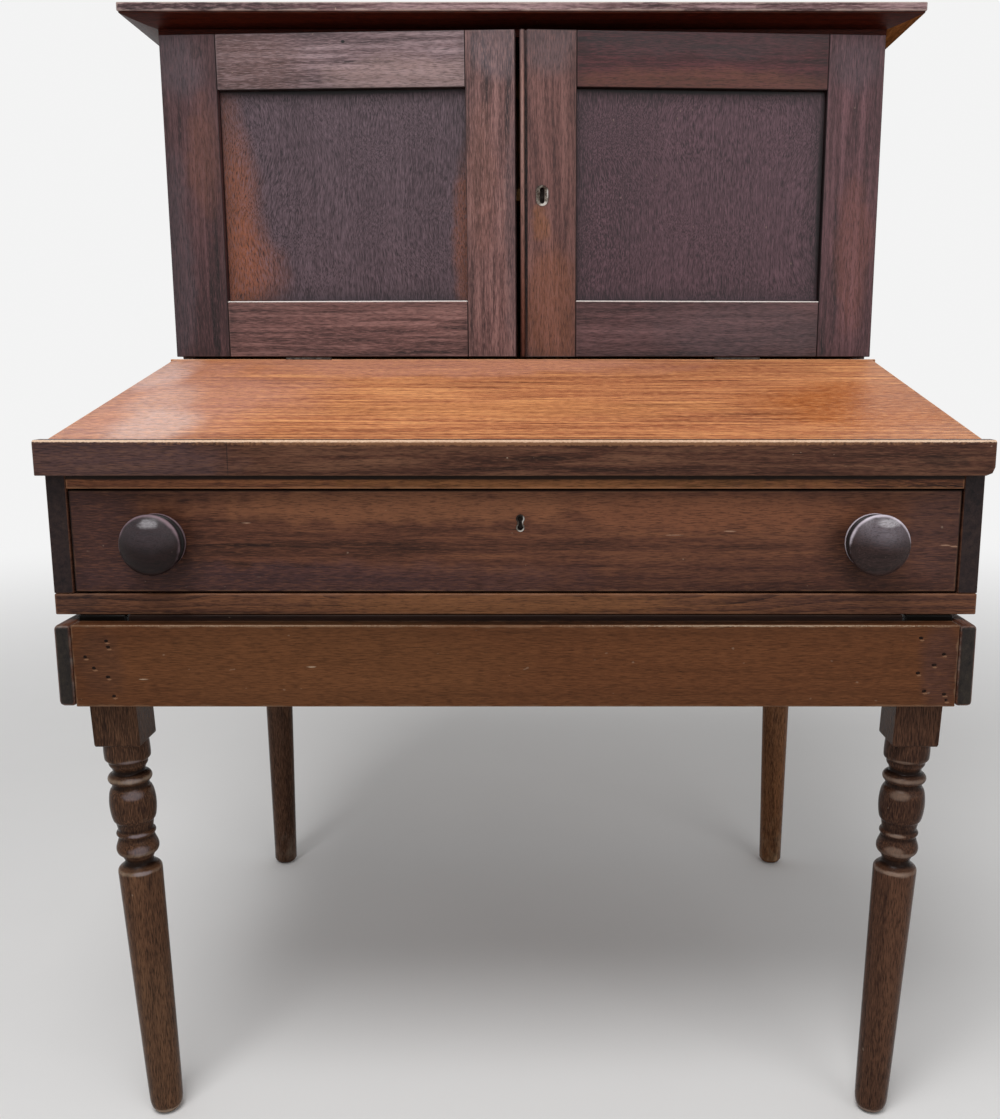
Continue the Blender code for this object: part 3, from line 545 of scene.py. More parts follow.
PANEL_WALNUT = WoodFinish(tint(30, 22, 23), tint(77, 57, 57), tint(114, 90, 88), tint(120, 84, 66),
                          rings=0.16, ring_gap=0.006, curl=0.05, broad=0.18, strands=0.16, flecks=0.85,
                          lights=0.70, gloss=0.32, rough=0.46, wear=0.0, grime=0.4, seam=0.8)
LID_WALNUT = WoodFinish(tint(104, 54, 32), tint(187, 114, 75), tint(240, 170, 112), tint(226, 178, 136),
                        rough=0.40, rings=0.14, strands=0.92, flecks=0.62, lights=0.64, gloss=0.16,
                        grime=0.12, curl=0.003)
LEG_WALNUT = WoodFinish(tint(32, 19, 14), tint(78, 48, 33), tint(102, 66, 46), tint(160, 130, 110),
                        rough=0.20, gloss=0.06, end=(0.6, 0.6, 0.6), wear=0.45, grime=0.90)
# On the knobs the near-white fourth colour paints highlights on the rims, and the grime strength paints shade
# into the groove.
KNOB_WALNUT = WoodFinish(tint(20, 13, 11), tint(40, 28, 25), tint(62, 46, 42), tint(232, 226, 228),
                         rough=0.34, gloss=0.16, end=(0.8, 0.8, 0.8), wear=0.55, grime=0.8, specks=0.5,
                         flecks=0.4)
# The crown's very dark colour is partly the wood's own dark red and partly painted shade under the cornice;
# the lighter copy below, for the right return, is painted light.
CROWN_WALNUT = WoodFinish(tint(24, 7, 5), tint(62, 21, 12), tint(86, 32, 18), tint(96, 56, 36),
                          gloss=0.08, wear=0.1, seam=0.3)
RETURN_WALNUT = replace(CROWN_WALNUT, deep=tint(60, 32, 16), body=tint(128, 78, 42),
                        pale=tint(160, 104, 60), gloss=0.0)
PINE = WoodFinish(tint(104, 64, 34), tint(160, 112, 66), tint(196, 150, 98), tint(186, 144, 98),
                  end=(0.7, 0.66, 0.6), rings=0.42, ring_gap=0.009, pores=0.12, rough=0.62, flecks=0.18,
                  lights=0.1)
IRON = MetalFinish(tint(66, 60, 56), tint(34, 30, 28), tint(72, 42, 28), rough=0.55, dull=0.9, rusty=0.5)
STEEL = MetalFinish(tint(118, 110, 102), tint(48, 39, 33), tint(60, 38, 27), rough=0.42, dull=0.95,
                    rusty=0.7)


def block(lo: Vector, hi: Vector) -> Solid:
    """Returns a plain block between two corners."""
    bm = bmesh.new()
    size = hi - lo
    place = Matrix.Translation((lo + hi) / 2) @ Matrix.Diagonal((size.x, size.y, size.z, 1.0))
    bmesh.ops.create_cube(bm, size=1.0, matrix=place)
    return bm


def drawn(outline: Sequence[Point], along: Vector) -> Solid:
    """Returns an outline drawn straight through space."""
    bm = bmesh.new()
    ring = [bm.verts.new(p) for p in outline]
    face = bm.faces.new(ring)
    made = bmesh.ops.extrude_face_region(bm, geom=[face], use_keep_orig=True)
    moved = [v for v in made["geom"] if isinstance(v, bmesh.types.BMVert)]
    bmesh.ops.translate(bm, vec=along, verts=moved)
    bmesh.ops.recalc_face_normals(bm, faces=bm.faces)
    return bm


def keyway(middle: Point, far: float, radius: float, waist: float, reach: float, steps: int) -> Solid:
    """Returns the cutter of an upright keyhole with round ends.

    Args:
        middle: Its middle, where the cut starts.
        far: Where the cut ends, along Y.
        radius: Radius of the ends.
        waist: Half the width between the ends.
        reach: From the middle to the centre of an end.
        steps: Faces round each end.

    Returns:
        The cutter.
    """
    x, near, z = middle
    tuck = math.acos(waist / radius)
    ring = []
    for sign, turn in ((1, 0.0), (-1, math.pi)):
        for k in range(steps + 1):
            angle = -tuck + (math.pi + 2 * tuck) * k / steps + turn
            ring.append((x + radius * math.cos(angle), near, z + sign * reach + radius * math.sin(angle)))
    return drawn(ring, Vector((0, far - near, 0)))


def corners(bm: Solid) -> List[bmesh.types.BMEdge]:
    """Returns the edges where two faces meet at a corner."""
    return [e for e in bm.edges if e.is_manifold and e.calc_face_angle(0.0) > 0.6]


def rule(bm: Solid, spacing: float = 0.04) -> None:
    """Splits a board along its longest way, so that its edges can wander."""
    spans = [max(v.co[i] for v in bm.verts) - min(v.co[i] for v in bm.verts) for i in range(3)]
    axis = spans.index(max(spans))
    cuts = min(30, int(spans[axis] / spacing))
    long = [e for e in bm.edges if abs((e.verts[1].co - e.verts[0].co)[axis]) > 0.9 * spans[axis]]
    if cuts > 0 and long:
        bmesh.ops.subdivide_edges(bm, edges=long, cuts=cuts, use_grid_fill=True)


def eased(bm: Solid, edges: Iterable[bmesh.types.BMEdge], width: float, uneven: float = 0.35,
          segments: int = 3) -> Solid:
    """Rounds edges and lets the rounding wander a little, as hand work and wear leave it.

    Args:
        bm: The solid.
        edges: The edges to round.
        width: How far the rounding reaches from an edge.
        uneven: How much it wanders, as a share of the width.
        segments: Steps in the rounding.

    Returns:
        The same solid.
    """
    made = bmesh.ops.bevel(bm, geom=list(edges), offset=width, offset_type="OFFSET", segments=segments,
                           profile=0.5, affect="EDGES", clamp_overlap=True, material=-1)
    bm.normal_update()
    fresh = set(made["faces"])
    for face in fresh:
        face.smooth = True
    for vert in bm.verts:
        if vert.link_faces and all(f in fresh for f in vert.link_faces):
            wander = noise.noise(vert.co * 31.0) * 0.7 + noise.noise(vert.co * 83.0) * 0.3
            vert.co -= vert.normal * (width * uneven * (0.5 + wander) * 0.5)
    return bm


def plank(lo: Vector, hi: Vector, width: float = 0.0009) -> Solid:
    """Returns a board with eased edges."""
    bm = block(lo, hi)
    rule(bm)
    return eased(bm, corners(bm), width)


def joined(parts: Sequence[Solid]) -> Solid:
    """Returns several solids as one mesh."""
    out = bmesh.new()
    for bm in parts:
        mesh = bpy.data.meshes.new("part")
        bm.to_mesh(mesh)
        bm.free()
        out.from_mesh(mesh)
        bpy.data.meshes.remove(mesh)
    return out


def held(bm: Solid) -> bpy.types.Object:
    """Returns a scratch object that holds a solid, in millimetres."""
    bmesh.ops.scale(bm, vec=(1000.0, 1000.0, 1000.0), verts=bm.verts)
    mesh = bpy.data.meshes.new("scratch")
    bm.to_mesh(mesh)
    bm.free()
    obj = bpy.data.objects.new("scratch", mesh)
    bpy.context.scene.collection.objects.link(obj)
    return obj


def carved(bm: Solid, cutters: Sequence[Solid]) -> Solid:
    """Returns a solid with pockets, mortises and holes cut from it."""
    body = held(bm)
    tools = [held(cutter) for cutter in cutters]
    for tool in tools:
        change = body.modifiers.new("cut", "BOOLEAN")
        change.operation = "DIFFERENCE"
        change.solver = "EXACT"
        change.object = tool
    mesh = bpy.data.meshes.new_from_object(body.evaluated_get(bpy.context.evaluated_depsgraph_get()))
    out = bmesh.new()
    out.from_mesh(mesh)
    bpy.data.meshes.remove(mesh)
    bmesh.ops.scale(out, vec=(0.001, 0.001, 0.001), verts=out.verts)
    for obj in [body] + tools:
        data = obj.data
        bpy.data.objects.remove(obj)
        bpy.data.meshes.remove(data)
    return out


def sliced(bm: Solid, point: Point, normal: Point) -> Solid:
    """Returns a solid with all that lies on a plane's outer side cut off, and the cut closed."""
    geom = list(bm.verts) + list(bm.edges) + list(bm.faces)
    made = bmesh.ops.bisect_plane(bm, geom=geom, dist=1e-7, plane_co=point, plane_no=normal, clear_outer=True)
    rim = [e for e in made["geom_cut"] if isinstance(e, bmesh.types.BMEdge)]
    bmesh.ops.edgeloop_fill(bm, edges=rim)
    bmesh.ops.recalc_face_normals(bm, faces=bm.faces)
    return bm


def softened(profile: Sequence[Pair], rounds: int = 2) -> List[Pair]:
    """Returns a profile with its corners cut off again and again, which rounds them."""
    points = list(profile)
    for _ in range(rounds):
        out = [points[0]]
        for (a, b), (c, d) in zip(points, points[1:]):
            out += [(0.75 * a + 0.25 * c, 0.75 * b + 0.25 * d), (0.25 * a + 0.75 * c, 0.25 * b + 0.75 * d)]
        points = out + [points[-1]]
    return points


def turned(profile: Sequence[Pair], steps: int = 64) -> Solid:
    """Returns a piece as it comes off the lathe, along Z.

    Args:
        profile: Pairs of a height and a radius, from one end to the other.
        steps: Faces round the piece.

    Returns:
        The closed solid. Its vertices carry "relief", above 0 on crests and below 0 in hollows.
    """
    bm = bmesh.new()
    layer = bm.verts.layers.float.new("relief")
    line = [(profile[0][0], 0.0)] + list(profile) + [(profile[-1][0], 0.0)]
    row = []
    for height, radius in line:
        near = [r for h, r in profile if abs(h - height) < 0.007]
        vert = bm.verts.new((radius, 0.0, height))
        vert[layer] = max(-1.0, min(1.0, (radius - sum(near) / len(near)) / 0.003))
        row.append(vert)
    edges = [bm.edges.new(pair) for pair in zip(row, row[1:])]
    bmesh.ops.spin(bm, geom=row + edges, cent=(0, 0, 0), axis=(0, 0, 1), angle=2 * math.pi, steps=steps,
                   use_merge=True)
    bmesh.ops.remove_doubles(bm, verts=bm.verts, dist=1e-7)
    bmesh.ops.recalc_face_normals(bm, faces=bm.faces)
    for face in bm.faces:
        face.smooth = True
    for edge in bm.edges:
        edge.smooth = edge.calc_face_angle(0.0) < math.radians(50)
    return bm


class Bench:
    """Where meshes become pieces of the desk."""

    def piece(self, name: str, bm: Solid, body: Body, slot: Slot, material: bpy.types.Material,
              *nodes: str) -> None:
        """Makes a piece.

        Args:
            name: The piece's name.
            bm: Its mesh, in place.
            body: What it moves with.
            slot: The record's finish; not used.
            material: Its own material.
            nodes: The solids that it stands for.
        """
        bmesh.ops.recalc_face_normals(bm, faces=bm.faces)
        mesh = bpy.data.meshes.new(name)
        bm.to_mesh(mesh)
        bm.free()
        mesh.materials.append(material)
        obj = bpy.data.objects.new(name, mesh)
        bpy.context.scene.collection.objects.link(obj)
        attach(obj, body.value)
        if nodes:
            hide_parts(*nodes)
        LOG.info("%s: %d faces on %s", name, len(mesh.polygons), body.value)

    def wood(self, node: str, bm: Solid, body: Body, slot: Slot, finish: WoodFinish, lay: Lay,
             kind: str = "board") -> None:
        """Makes a wooden piece that stands for one solid."""
        self.piece(f"{node}_{kind}", bm, body, slot, finish.material(f"{node}_wood", lay), node)

    def board(self, node: str, body: Body, slot: Slot, finish: WoodFinish, grain: Grain, seed: float,
              width: float = 0.0009, **more: object) -> None:
        """Makes a board with eased edges that fills its node's box."""
        lo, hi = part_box(node)
        self.wood(node, plank(lo, hi, width), body, slot, finish, Lay.between(lo, hi, grain, seed, **more))

    def refinish(self, node: str, material: bpy.types.Material) -> None:
        """Gives a solid that stays as it is a better material."""
        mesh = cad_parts[node].data
        mesh.materials.clear()
        mesh.materials.append(material)
        LOG.info("%s: refinished", node)


@dataclass
class ButtHinge:
    """A pair of leaves on a pin, let into the wood."""

    length: float
    gap: float
    knuckle: float = 0.0026
    leaf: float = 0.0014
    reach: float = 0.0150
    play: float = 0.0003

    def seat(self, place: Matrix, case_side: bool) -> List[Solid]:
        """Returns what is cut from the wood for one leaf and the barrel.

        Args:
            place: The hinge's own axes, with Z along the pin and X away from the leaves.
            case_side: Whether the leaf is the one on the fixed side.

        Returns:
            The two cutters.
        """
        deep = (self.gap / 2 + self.leaf + self.play) * (1 if case_side else -1)
        end = self.length / 2 + self.play
        pocket = block(Vector((-self.reach - self.play, min(0.0, deep), -end)),
                       Vector((self.play, max(0.0, deep), end)))
        barrel = bmesh.new()
        r = self.knuckle + self.play
        bmesh.ops.create_cone(barrel, cap_ends=True, segments=32, radius1=r, radius2=r,
                              depth=2 * end + 0.0002)
        for cutter in (pocket, barrel):
            bmesh.ops.transform(cutter, matrix=place, verts=cutter.verts)
        return [pocket, barrel]

    def seats(self, places: Sequence[Matrix], case_side: bool) -> List[Solid]:
        """Returns the cutters for the leaves of several hinges on one side."""
        return [cutter for place in places for cutter in self.seat(place, case_side)]


@dataclass
class Stand:
    """The four-legged frame under the drawer case."""

    post: float = 0.048
    lean: float = 0.042
    block_low: float = 0.436
    leg_top: float = 0.5777
    front_x: float = 0.4222
    front_y: float = 0.0223
    back_x: float = 0.410
    back_y: float = 0.6367
    back_shoulder: float = 0.475
    half_height: float = 0.29
    nail_r: float = 0.0021
    batten_x: float = 0.3950
    batten_tall: float = 0.030
    batten_deep: float = 0.018
    turning: Tuple[Pair, ...] = (
        (0.0, 0.0085), (0.001, 0.0115), (0.004, 0.0150), (0.010, 0.0172), (0.020, 0.0180),
        (0.150, 0.0203), (0.285, 0.0227), (0.2905, 0.0228), (0.2925, 0.0224), (0.2945, 0.0208),
        (0.2962, 0.0182), (0.2985, 0.0156), (0.3010, 0.0147), (0.3035, 0.0147), (0.3060, 0.0163),
        (0.3085, 0.0170), (0.3095, 0.0190), (0.3120, 0.0212), (0.3160, 0.0221), (0.3200, 0.0214),
        (0.3260, 0.0190), (0.3300, 0.0180), (0.3315, 0.0196), (0.3335, 0.0205), (0.3355, 0.0196),
        (0.3370, 0.0178), (0.3420, 0.0186), (0.3474, 0.0198), (0.3482, 0.0216), (0.3560, 0.0233),
        (0.3670, 0.0241), (0.3780, 0.0230), (0.3835, 0.0212), (0.3855, 0.0190), (0.3895, 0.0190),
        (0.3905, 0.0195), (0.3925, 0.0218), (0.3955, 0.0228), (0.3985, 0.0218), (0.4005, 0.0195),
        (0.4020, 0.0165), (0.4045, 0.0164), (0.4080, 0.0178), (0.4110, 0.0200), (0.4150, 0.0200),
        (0.4165, 0.0225), (0.4185, 0.0236), (0.4300, 0.0236), (0.4450, 0.0225))
    # Painted highlights on the turnings: height, reach up and down, and strength of each.
    sheen: Tuple[Tuple[float, float, float], ...] = (
        (0.2925, 0.0026, 0.40), (0.3178, 0.0062, 0.28), (0.3345, 0.0024, 0.42), (0.3805, 0.0065, 0.28),
        (0.3968, 0.0030, 0.22), (0.4178, 0.0024, 0.25))
    plain: Tuple[Pair, ...] = (
        (0.0, 0.0106), (0.002, 0.0146), (0.007, 0.0176), (0.2, 0.0201), (0.473, 0.0236), (0.485, 0.0236))
    nails: Tuple[Pair, ...] = (
        (-0.4336, 0.5394), (-0.4254, 0.5279), (-0.4119, 0.5185), (-0.4072, 0.4985), (-0.4113, 0.5560),
        (-0.4097, 0.5498), (0.4076, 0.5591), (0.4317, 0.5425), (0.4224, 0.5311), (0.4067, 0.5227),
        (0.4139, 0.5038), (0.4344, 0.5006), (0.4368, 0.4943))

    def build(self, bench: Bench) -> None:
        """Makes the aprons, the legs and the nails."""
        lo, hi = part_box("apron_front")
        face, top = lo.y, hi.z
        pale, rust = tint(196, 176, 152), tint(150, 112, 84)
        marks = Mark.row(
            face, 0.03,
            (0.428, 0.530, 0.026, 0.060, tint(66, 47, 49), 0.50, 0.25),
            (-0.418, 0.532, 0.030, 0.048, tint(62, 44, 38), 0.38, 0.45))
        # A near-black band on the apron's top face paints the shade under the case, and pale lines along its
        # top front edge paint a highlight.
        marks += (
            Mark((0.0, face + 0.012, top), (0.60, 0.012, 0.0030), tint(15, 11, 9), 0.96, 0.1),
            Mark((0.25, face, top), (0.22, 0.0022, 0.0016), pale, 0.85, 0.8),
            Mark((-0.25, face, top), (0.22, 0.0022, 0.0012), pale, 0.60, 0.9))
        marks += Mark.row(
            face, 0.03,
            (-0.2060, 0.5290, 0.006, 0.0009, pale, 0.8, 0.3),
            (-0.3760, 0.5160, 0.006, 0.0008, pale, 0.6, 0.3),
            (-0.200, 0.527, 0.26, 0.080, tint(104, 70, 42), 0.26, 0.3),
            # Under each nail a pale sliver paints the highlight on the lower rim of its dent.
            *((x + 0.0012, z - 0.0026, 0.0032, 0.0012, rust, 0.55, 0.5, True) for x, z in self.nails))
        bench.board("apron_front", Body.DESK, Slot.WALNUT, APRON_WALNUT, Grain.ACROSS, 1.0, 0.0011,
                    marks=marks)
        for index, side in enumerate(Side):
            bench.board(f"apron_{side.word}", Body.DESK, Slot.WALNUT, STUB_WALNUT, Grain.DEEP, 2.0 + index,
                        0.0045)
        bench.board("apron_back", Body.DESK, Slot.WALNUT, WALNUT, Grain.ACROSS, 4.0)
        self.batten(bench, hi.y + 0.0003)
        for index, side in enumerate(Side):
            self.front_leg(bench, side, 5.0 + index)
            self.back_leg(bench, side, 7.0 + index)
        self.drive_nails(bench, face)

    def batten(self, bench: Bench, near: float) -> None:
        """Makes the strip under the case that keeps it in its place on the stand."""
        lo = Vector((-self.batten_x, near, self.leg_top - self.batten_tall))
        hi = Vector((self.batten_x, near + self.batten_deep, self.leg_top))
        # The near-black tone paints the shade in the gap between the apron and the case.
        lay = Lay.between(lo, hi, Grain.ACROSS, 9.0, tone=(0.10, 0.09, 0.09))
        wood = WALNUT.material("case_batten_wood", lay)
        bench.piece("case_batten", plank(lo, hi), Body.DESK, Slot.WALNUT, wood)

    def front_leg(self, bench: Bench, side: Side, seed: float) -> None:
        """Makes a turned front leg that leans inwards towards its foot."""
        x, y = side.value * self.front_x, FRONT + self.front_y
        h = self.post / 2
        leg = turned(softened(self.turning))
        bmesh.ops.translate(leg, vec=(x, y, 0), verts=leg.verts)
        post = block(Vector((x - h, y - h, self.block_low)), Vector((x + h, y + h, self.leg_top)))
        low = [e for e in post.edges if all(v.co.z < self.block_low + 0.001 for v in e.verts)]
        eased(post, low, 0.0025, 0.2)
        eased(post, [e for e in corners(post) if not e.smooth or e.calc_face_angle(0.0) > 1.2], 0.0012)
        leg = joined([leg, post])
        slant = side.value * self.lean
        bmesh.ops.transform(leg, verts=leg.verts, matrix=Matrix(
            ((1, 0, slant, -slant * self.leg_top), (0, 1, 0, 0), (0, 0, 1, 0), (0, 0, 0, 1))))
        dark_z, tall = side.pick((0.390, 0.120), (0.375, 0.098))
        sheen = side.pick(tint(150, 140, 146), tint(160, 136, 120))
        # The first mark paints shade over the turnings and the block under the apron; the third paints shade
        # on the post's top behind the apron.
        marks = [
            Mark((x - slant * 0.21, y, dark_z), (0.10, 0.10, tall), tint(43, 28, 23), 0.60, 0.1),
            Mark((x - slant * 0.50, y, 0.08), (0.10, 0.10, 0.15), tint(102, 82, 64),
                 side.pick(0.16, 0.04), 0.2),
            Mark((x, y, self.leg_top), (0.10, 0.10, 0.024), tint(12, 9, 7), 1.0, 0.05, True)]
        # Pale patches on the front of the turnings are painted highlights.
        for height, tall, strength in self.sheen:
            front = (x - slant * (self.leg_top - height) - side.value * 0.010, y - 0.022, height)
            marks.append(Mark(front, (0.014, 0.016, tall), sheen, strength, 0.25, True))
        tone = side.pick((1.26, 1.52, 1.58), (1.03, 1.20, 1.36))
        lay = self.leg_lay(x, y, seed, pith=(0.05, 0.03), marks=tuple(marks), tone=tone)
        bench.wood(f"leg_front_{side.word}", leg, Body.DESK, Slot.DARK_TURNED, LEG_WALNUT, lay, "turning")

    def leg_lay(self, x: float, y: float, seed: float, **more: object) -> Lay:
        """Returns how the wood lies in a leg."""
        half = (self.post / 2, self.post / 2, self.half_height)
        return Lay((x, y, self.half_height), half, Grain.UPRIGHT, seed, turned=True, **more)

    def back_leg(self, bench: Bench, side: Side, seed: float) -> None:
        """Makes a plain tapered back leg."""
        x, y = side.value * self.back_x, FRONT + self.back_y
        h = self.post / 2
        leg = turned(self.plain)
        bmesh.ops.translate(leg, vec=(x, y, 0), verts=leg.verts)
        post = plank(Vector((x - h, y - h, self.back_shoulder)), Vector((x + h, y + h, self.leg_top)), 0.0015)
        tone = side.pick((1.14, 1.42, 1.60), (2.04, 2.25, 1.95))
        lay = self.leg_lay(x, y, seed, pith=(0.04, 0.03), tone=tone)
        bench.wood(f"leg_back_{side.word}", joined([leg, post]), Body.DESK, Slot.DARK_TURNED, LEG_WALNUT, lay,
                   "turning")

    @staticmethod
    def batter(head: Solid, middle: Vector) -> None:
        """Knocks a nail's head out of round."""
        long = 1.15 + 0.5 * noise.noise(middle * 130.0)
        for vert in head.verts:
            away = vert.co - middle
            dent = 1.0 + 0.35 * noise.noise(vert.co * 900.0)
            vert.co.x = middle.x + away.x * long * dent
            vert.co.z = middle.z + away.z * dent * 0.8

    def drive_nails(self, bench: Bench, face: float) -> None:
        """Makes the sunk nails at the ends of the front apron."""
        heads = []
        for x, z in self.nails:
            head = bmesh.new()
            place = Matrix.Translation((x, face - 0.00005, z)) @ Matrix.Rotation(math.pi / 2, 4, "X")
            bmesh.ops.create_cone(head, cap_ends=True, segments=12, radius1=self.nail_r,
                                  radius2=self.nail_r * 0.7, depth=0.0008, matrix=place)
            self.batter(head, Vector((x, face, z)))
            heads.append(head)
        rusted = replace(IRON, bare=tint(40, 30, 26), skin=tint(18, 13, 12), rusty=0.9)
        bench.piece("apron_nails", joined(heads), Body.DESK, Slot.IRON, rusted.material("nail_iron", 3.0))


@dataclass
class DrawerCase:
    """The case that holds the drawer, with the well over it."""

    slope_deg: float = 11.6
    lid_thick: float = 0.020
    lid_axis: Pair = (0.385, 0.835729)
    lid_gap: float = 0.0010
    seat: float = 0.0003
    bolt_play: float = 0.0022
    bolt_rise: float = 0.0119
    hinge_x: float = 0.285
    hinge: ButtHinge = field(default_factory=lambda: ButtHinge(0.060, 0.0010))

    @property
    def slope(self) -> float:
        """The lid's slope in radians."""
        return math.radians(self.slope_deg)

    def hinge_place(self, x: float) -> Matrix:
        """Returns the axes of a lid hinge, whose leaves hang down behind the lid's back edge."""
        s, c = math.sin(self.slope), math.cos(self.slope)
        y, z = self.lid_axis
        return Matrix(((0, 0, -1, x), (-s, c, 0, FRONT + y), (c, s, 0, z), (0, 0, 0, 1)))

    def hinge_seats(self, case_side: bool) -> List[Solid]:
        """Returns the cutters for both lid hinges on one side."""
        return self.hinge.seats([self.hinge_place(x) for x in (-self.hinge_x, self.hinge_x)], case_side)

    def under_lid(self, bm: Solid) -> Solid:
        """Returns a board planed off to the slope under the lid."""
        drop = self.lid_thick / math.cos(self.slope) + self.seat
        point = (0.0, FRONT + self.lid_axis[0], self.lid_axis[1] - drop)
        return sliced(bm, point, (0.0, -math.sin(self.slope), math.cos(self.slope)))

    @staticmethod
    def lip_shade(face: float, fall: float = 0.137) -> float:
        """Returns the height at which the lid's lip shades a face that lies behind it."""
        lip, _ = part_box("lid_front_lip")
        return lip.z - (face - lip.y) * fall

    def build(self, bench: Bench) -> None:
        """Makes the boards of the case."""
        lo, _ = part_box("case_bottom")
        marks = Mark.row(
            lo.y, 0.03,
            (-0.02, 0.589, 0.24, 0.016, tint(142, 94, 58), 0.52, 0.5),
            (-0.46, 0.589, 0.05, 0.03, tint(58, 42, 40), 0.5, 0.4),
            (0.37, 0.589, 0.15, 0.03, tint(76, 48, 44), 0.42, 0.4))
        bench.board("case_bottom", Body.DESK, Slot.WALNUT, RAIL_WALNUT, Grain.ACROSS, 11.0, 0.0012,
                    marks=marks, pith=(-0.34, 0.012))
        for index, side in enumerate(Side):
            node = f"case_side_{side.word}"
            lo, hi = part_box(node)
            bm = self.under_lid(block(lo, hi))
            eased(bm, corners(bm), 0.0012)
            lay = Lay.between(lo, hi, Grain.DEEP, 12.0 + index)
            bench.wood(node, bm, Body.DESK, Slot.WALNUT, END_WALNUT, lay)
        lo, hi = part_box("case_top_rail")
        rail = self.under_lid(block(lo, hi))
        eased(rail, corners(rail), 0.0009)
        bolt_lo, bolt_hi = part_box("drawer_lock_bolt")
        play = self.bolt_play
        mortise = block(bolt_lo - Vector((play, play, 0)), bolt_hi + Vector((play, play, self.bolt_rise)))
        marks = Mark.row(
            lo.y, 0.03,
            (0.06, 0.714, 0.36, 0.012, tint(156, 106, 60), 0.5, 0.5),
            # A near-black line along the rail's top paints the lip's shadow.
            (0.0, self.lip_shade(lo.y), 2.0, 0.0046, tint(14, 8, 6), 0.95, 0.05, True))
        lay = Lay.between(lo, hi, Grain.ACROSS, 14.0, tone=(1.95, 1.90, 1.64), marks=marks)
        bench.wood("case_top_rail", carved(rail, [mortise]), Body.DESK, Slot.WALNUT, TOP_WALNUT, lay)
        lo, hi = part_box("case_top")
        top = sliced(block(lo, hi), (0.0, lo.y, hi.z), (0.0, -math.cos(self.slope), -math.sin(self.slope)))
        eased(top, corners(top), 0.0010)
        lay = Lay.between(lo, hi, Grain.ACROSS, 15.0, pith=(0.05, -0.06))
        bench.wood("case_top", carved(top, self.hinge_seats(True)), Body.DESK, Slot.WALNUT, LID_WALNUT, lay)
        bench.board("well_floor", Body.DESK, Slot.PINE, PINE, Grain.ACROSS, 16.0)
        self.back_planks(bench)

    def back_planks(self, bench: Bench) -> None:
        """Makes the back from two boards, one over the other."""
        lo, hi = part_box("case_back")
        seam = lo.z + (hi.z - lo.z) * 0.56
        parts = [plank(lo, Vector((hi.x, hi.y, seam))), plank(Vector((lo.x, lo.y, seam)), hi)]
        lay = Lay.between(lo, hi, Grain.ACROSS, 17.0)
        bench.wood("case_back", joined(parts), Body.DESK, Slot.PINE, PINE, lay, "boards")


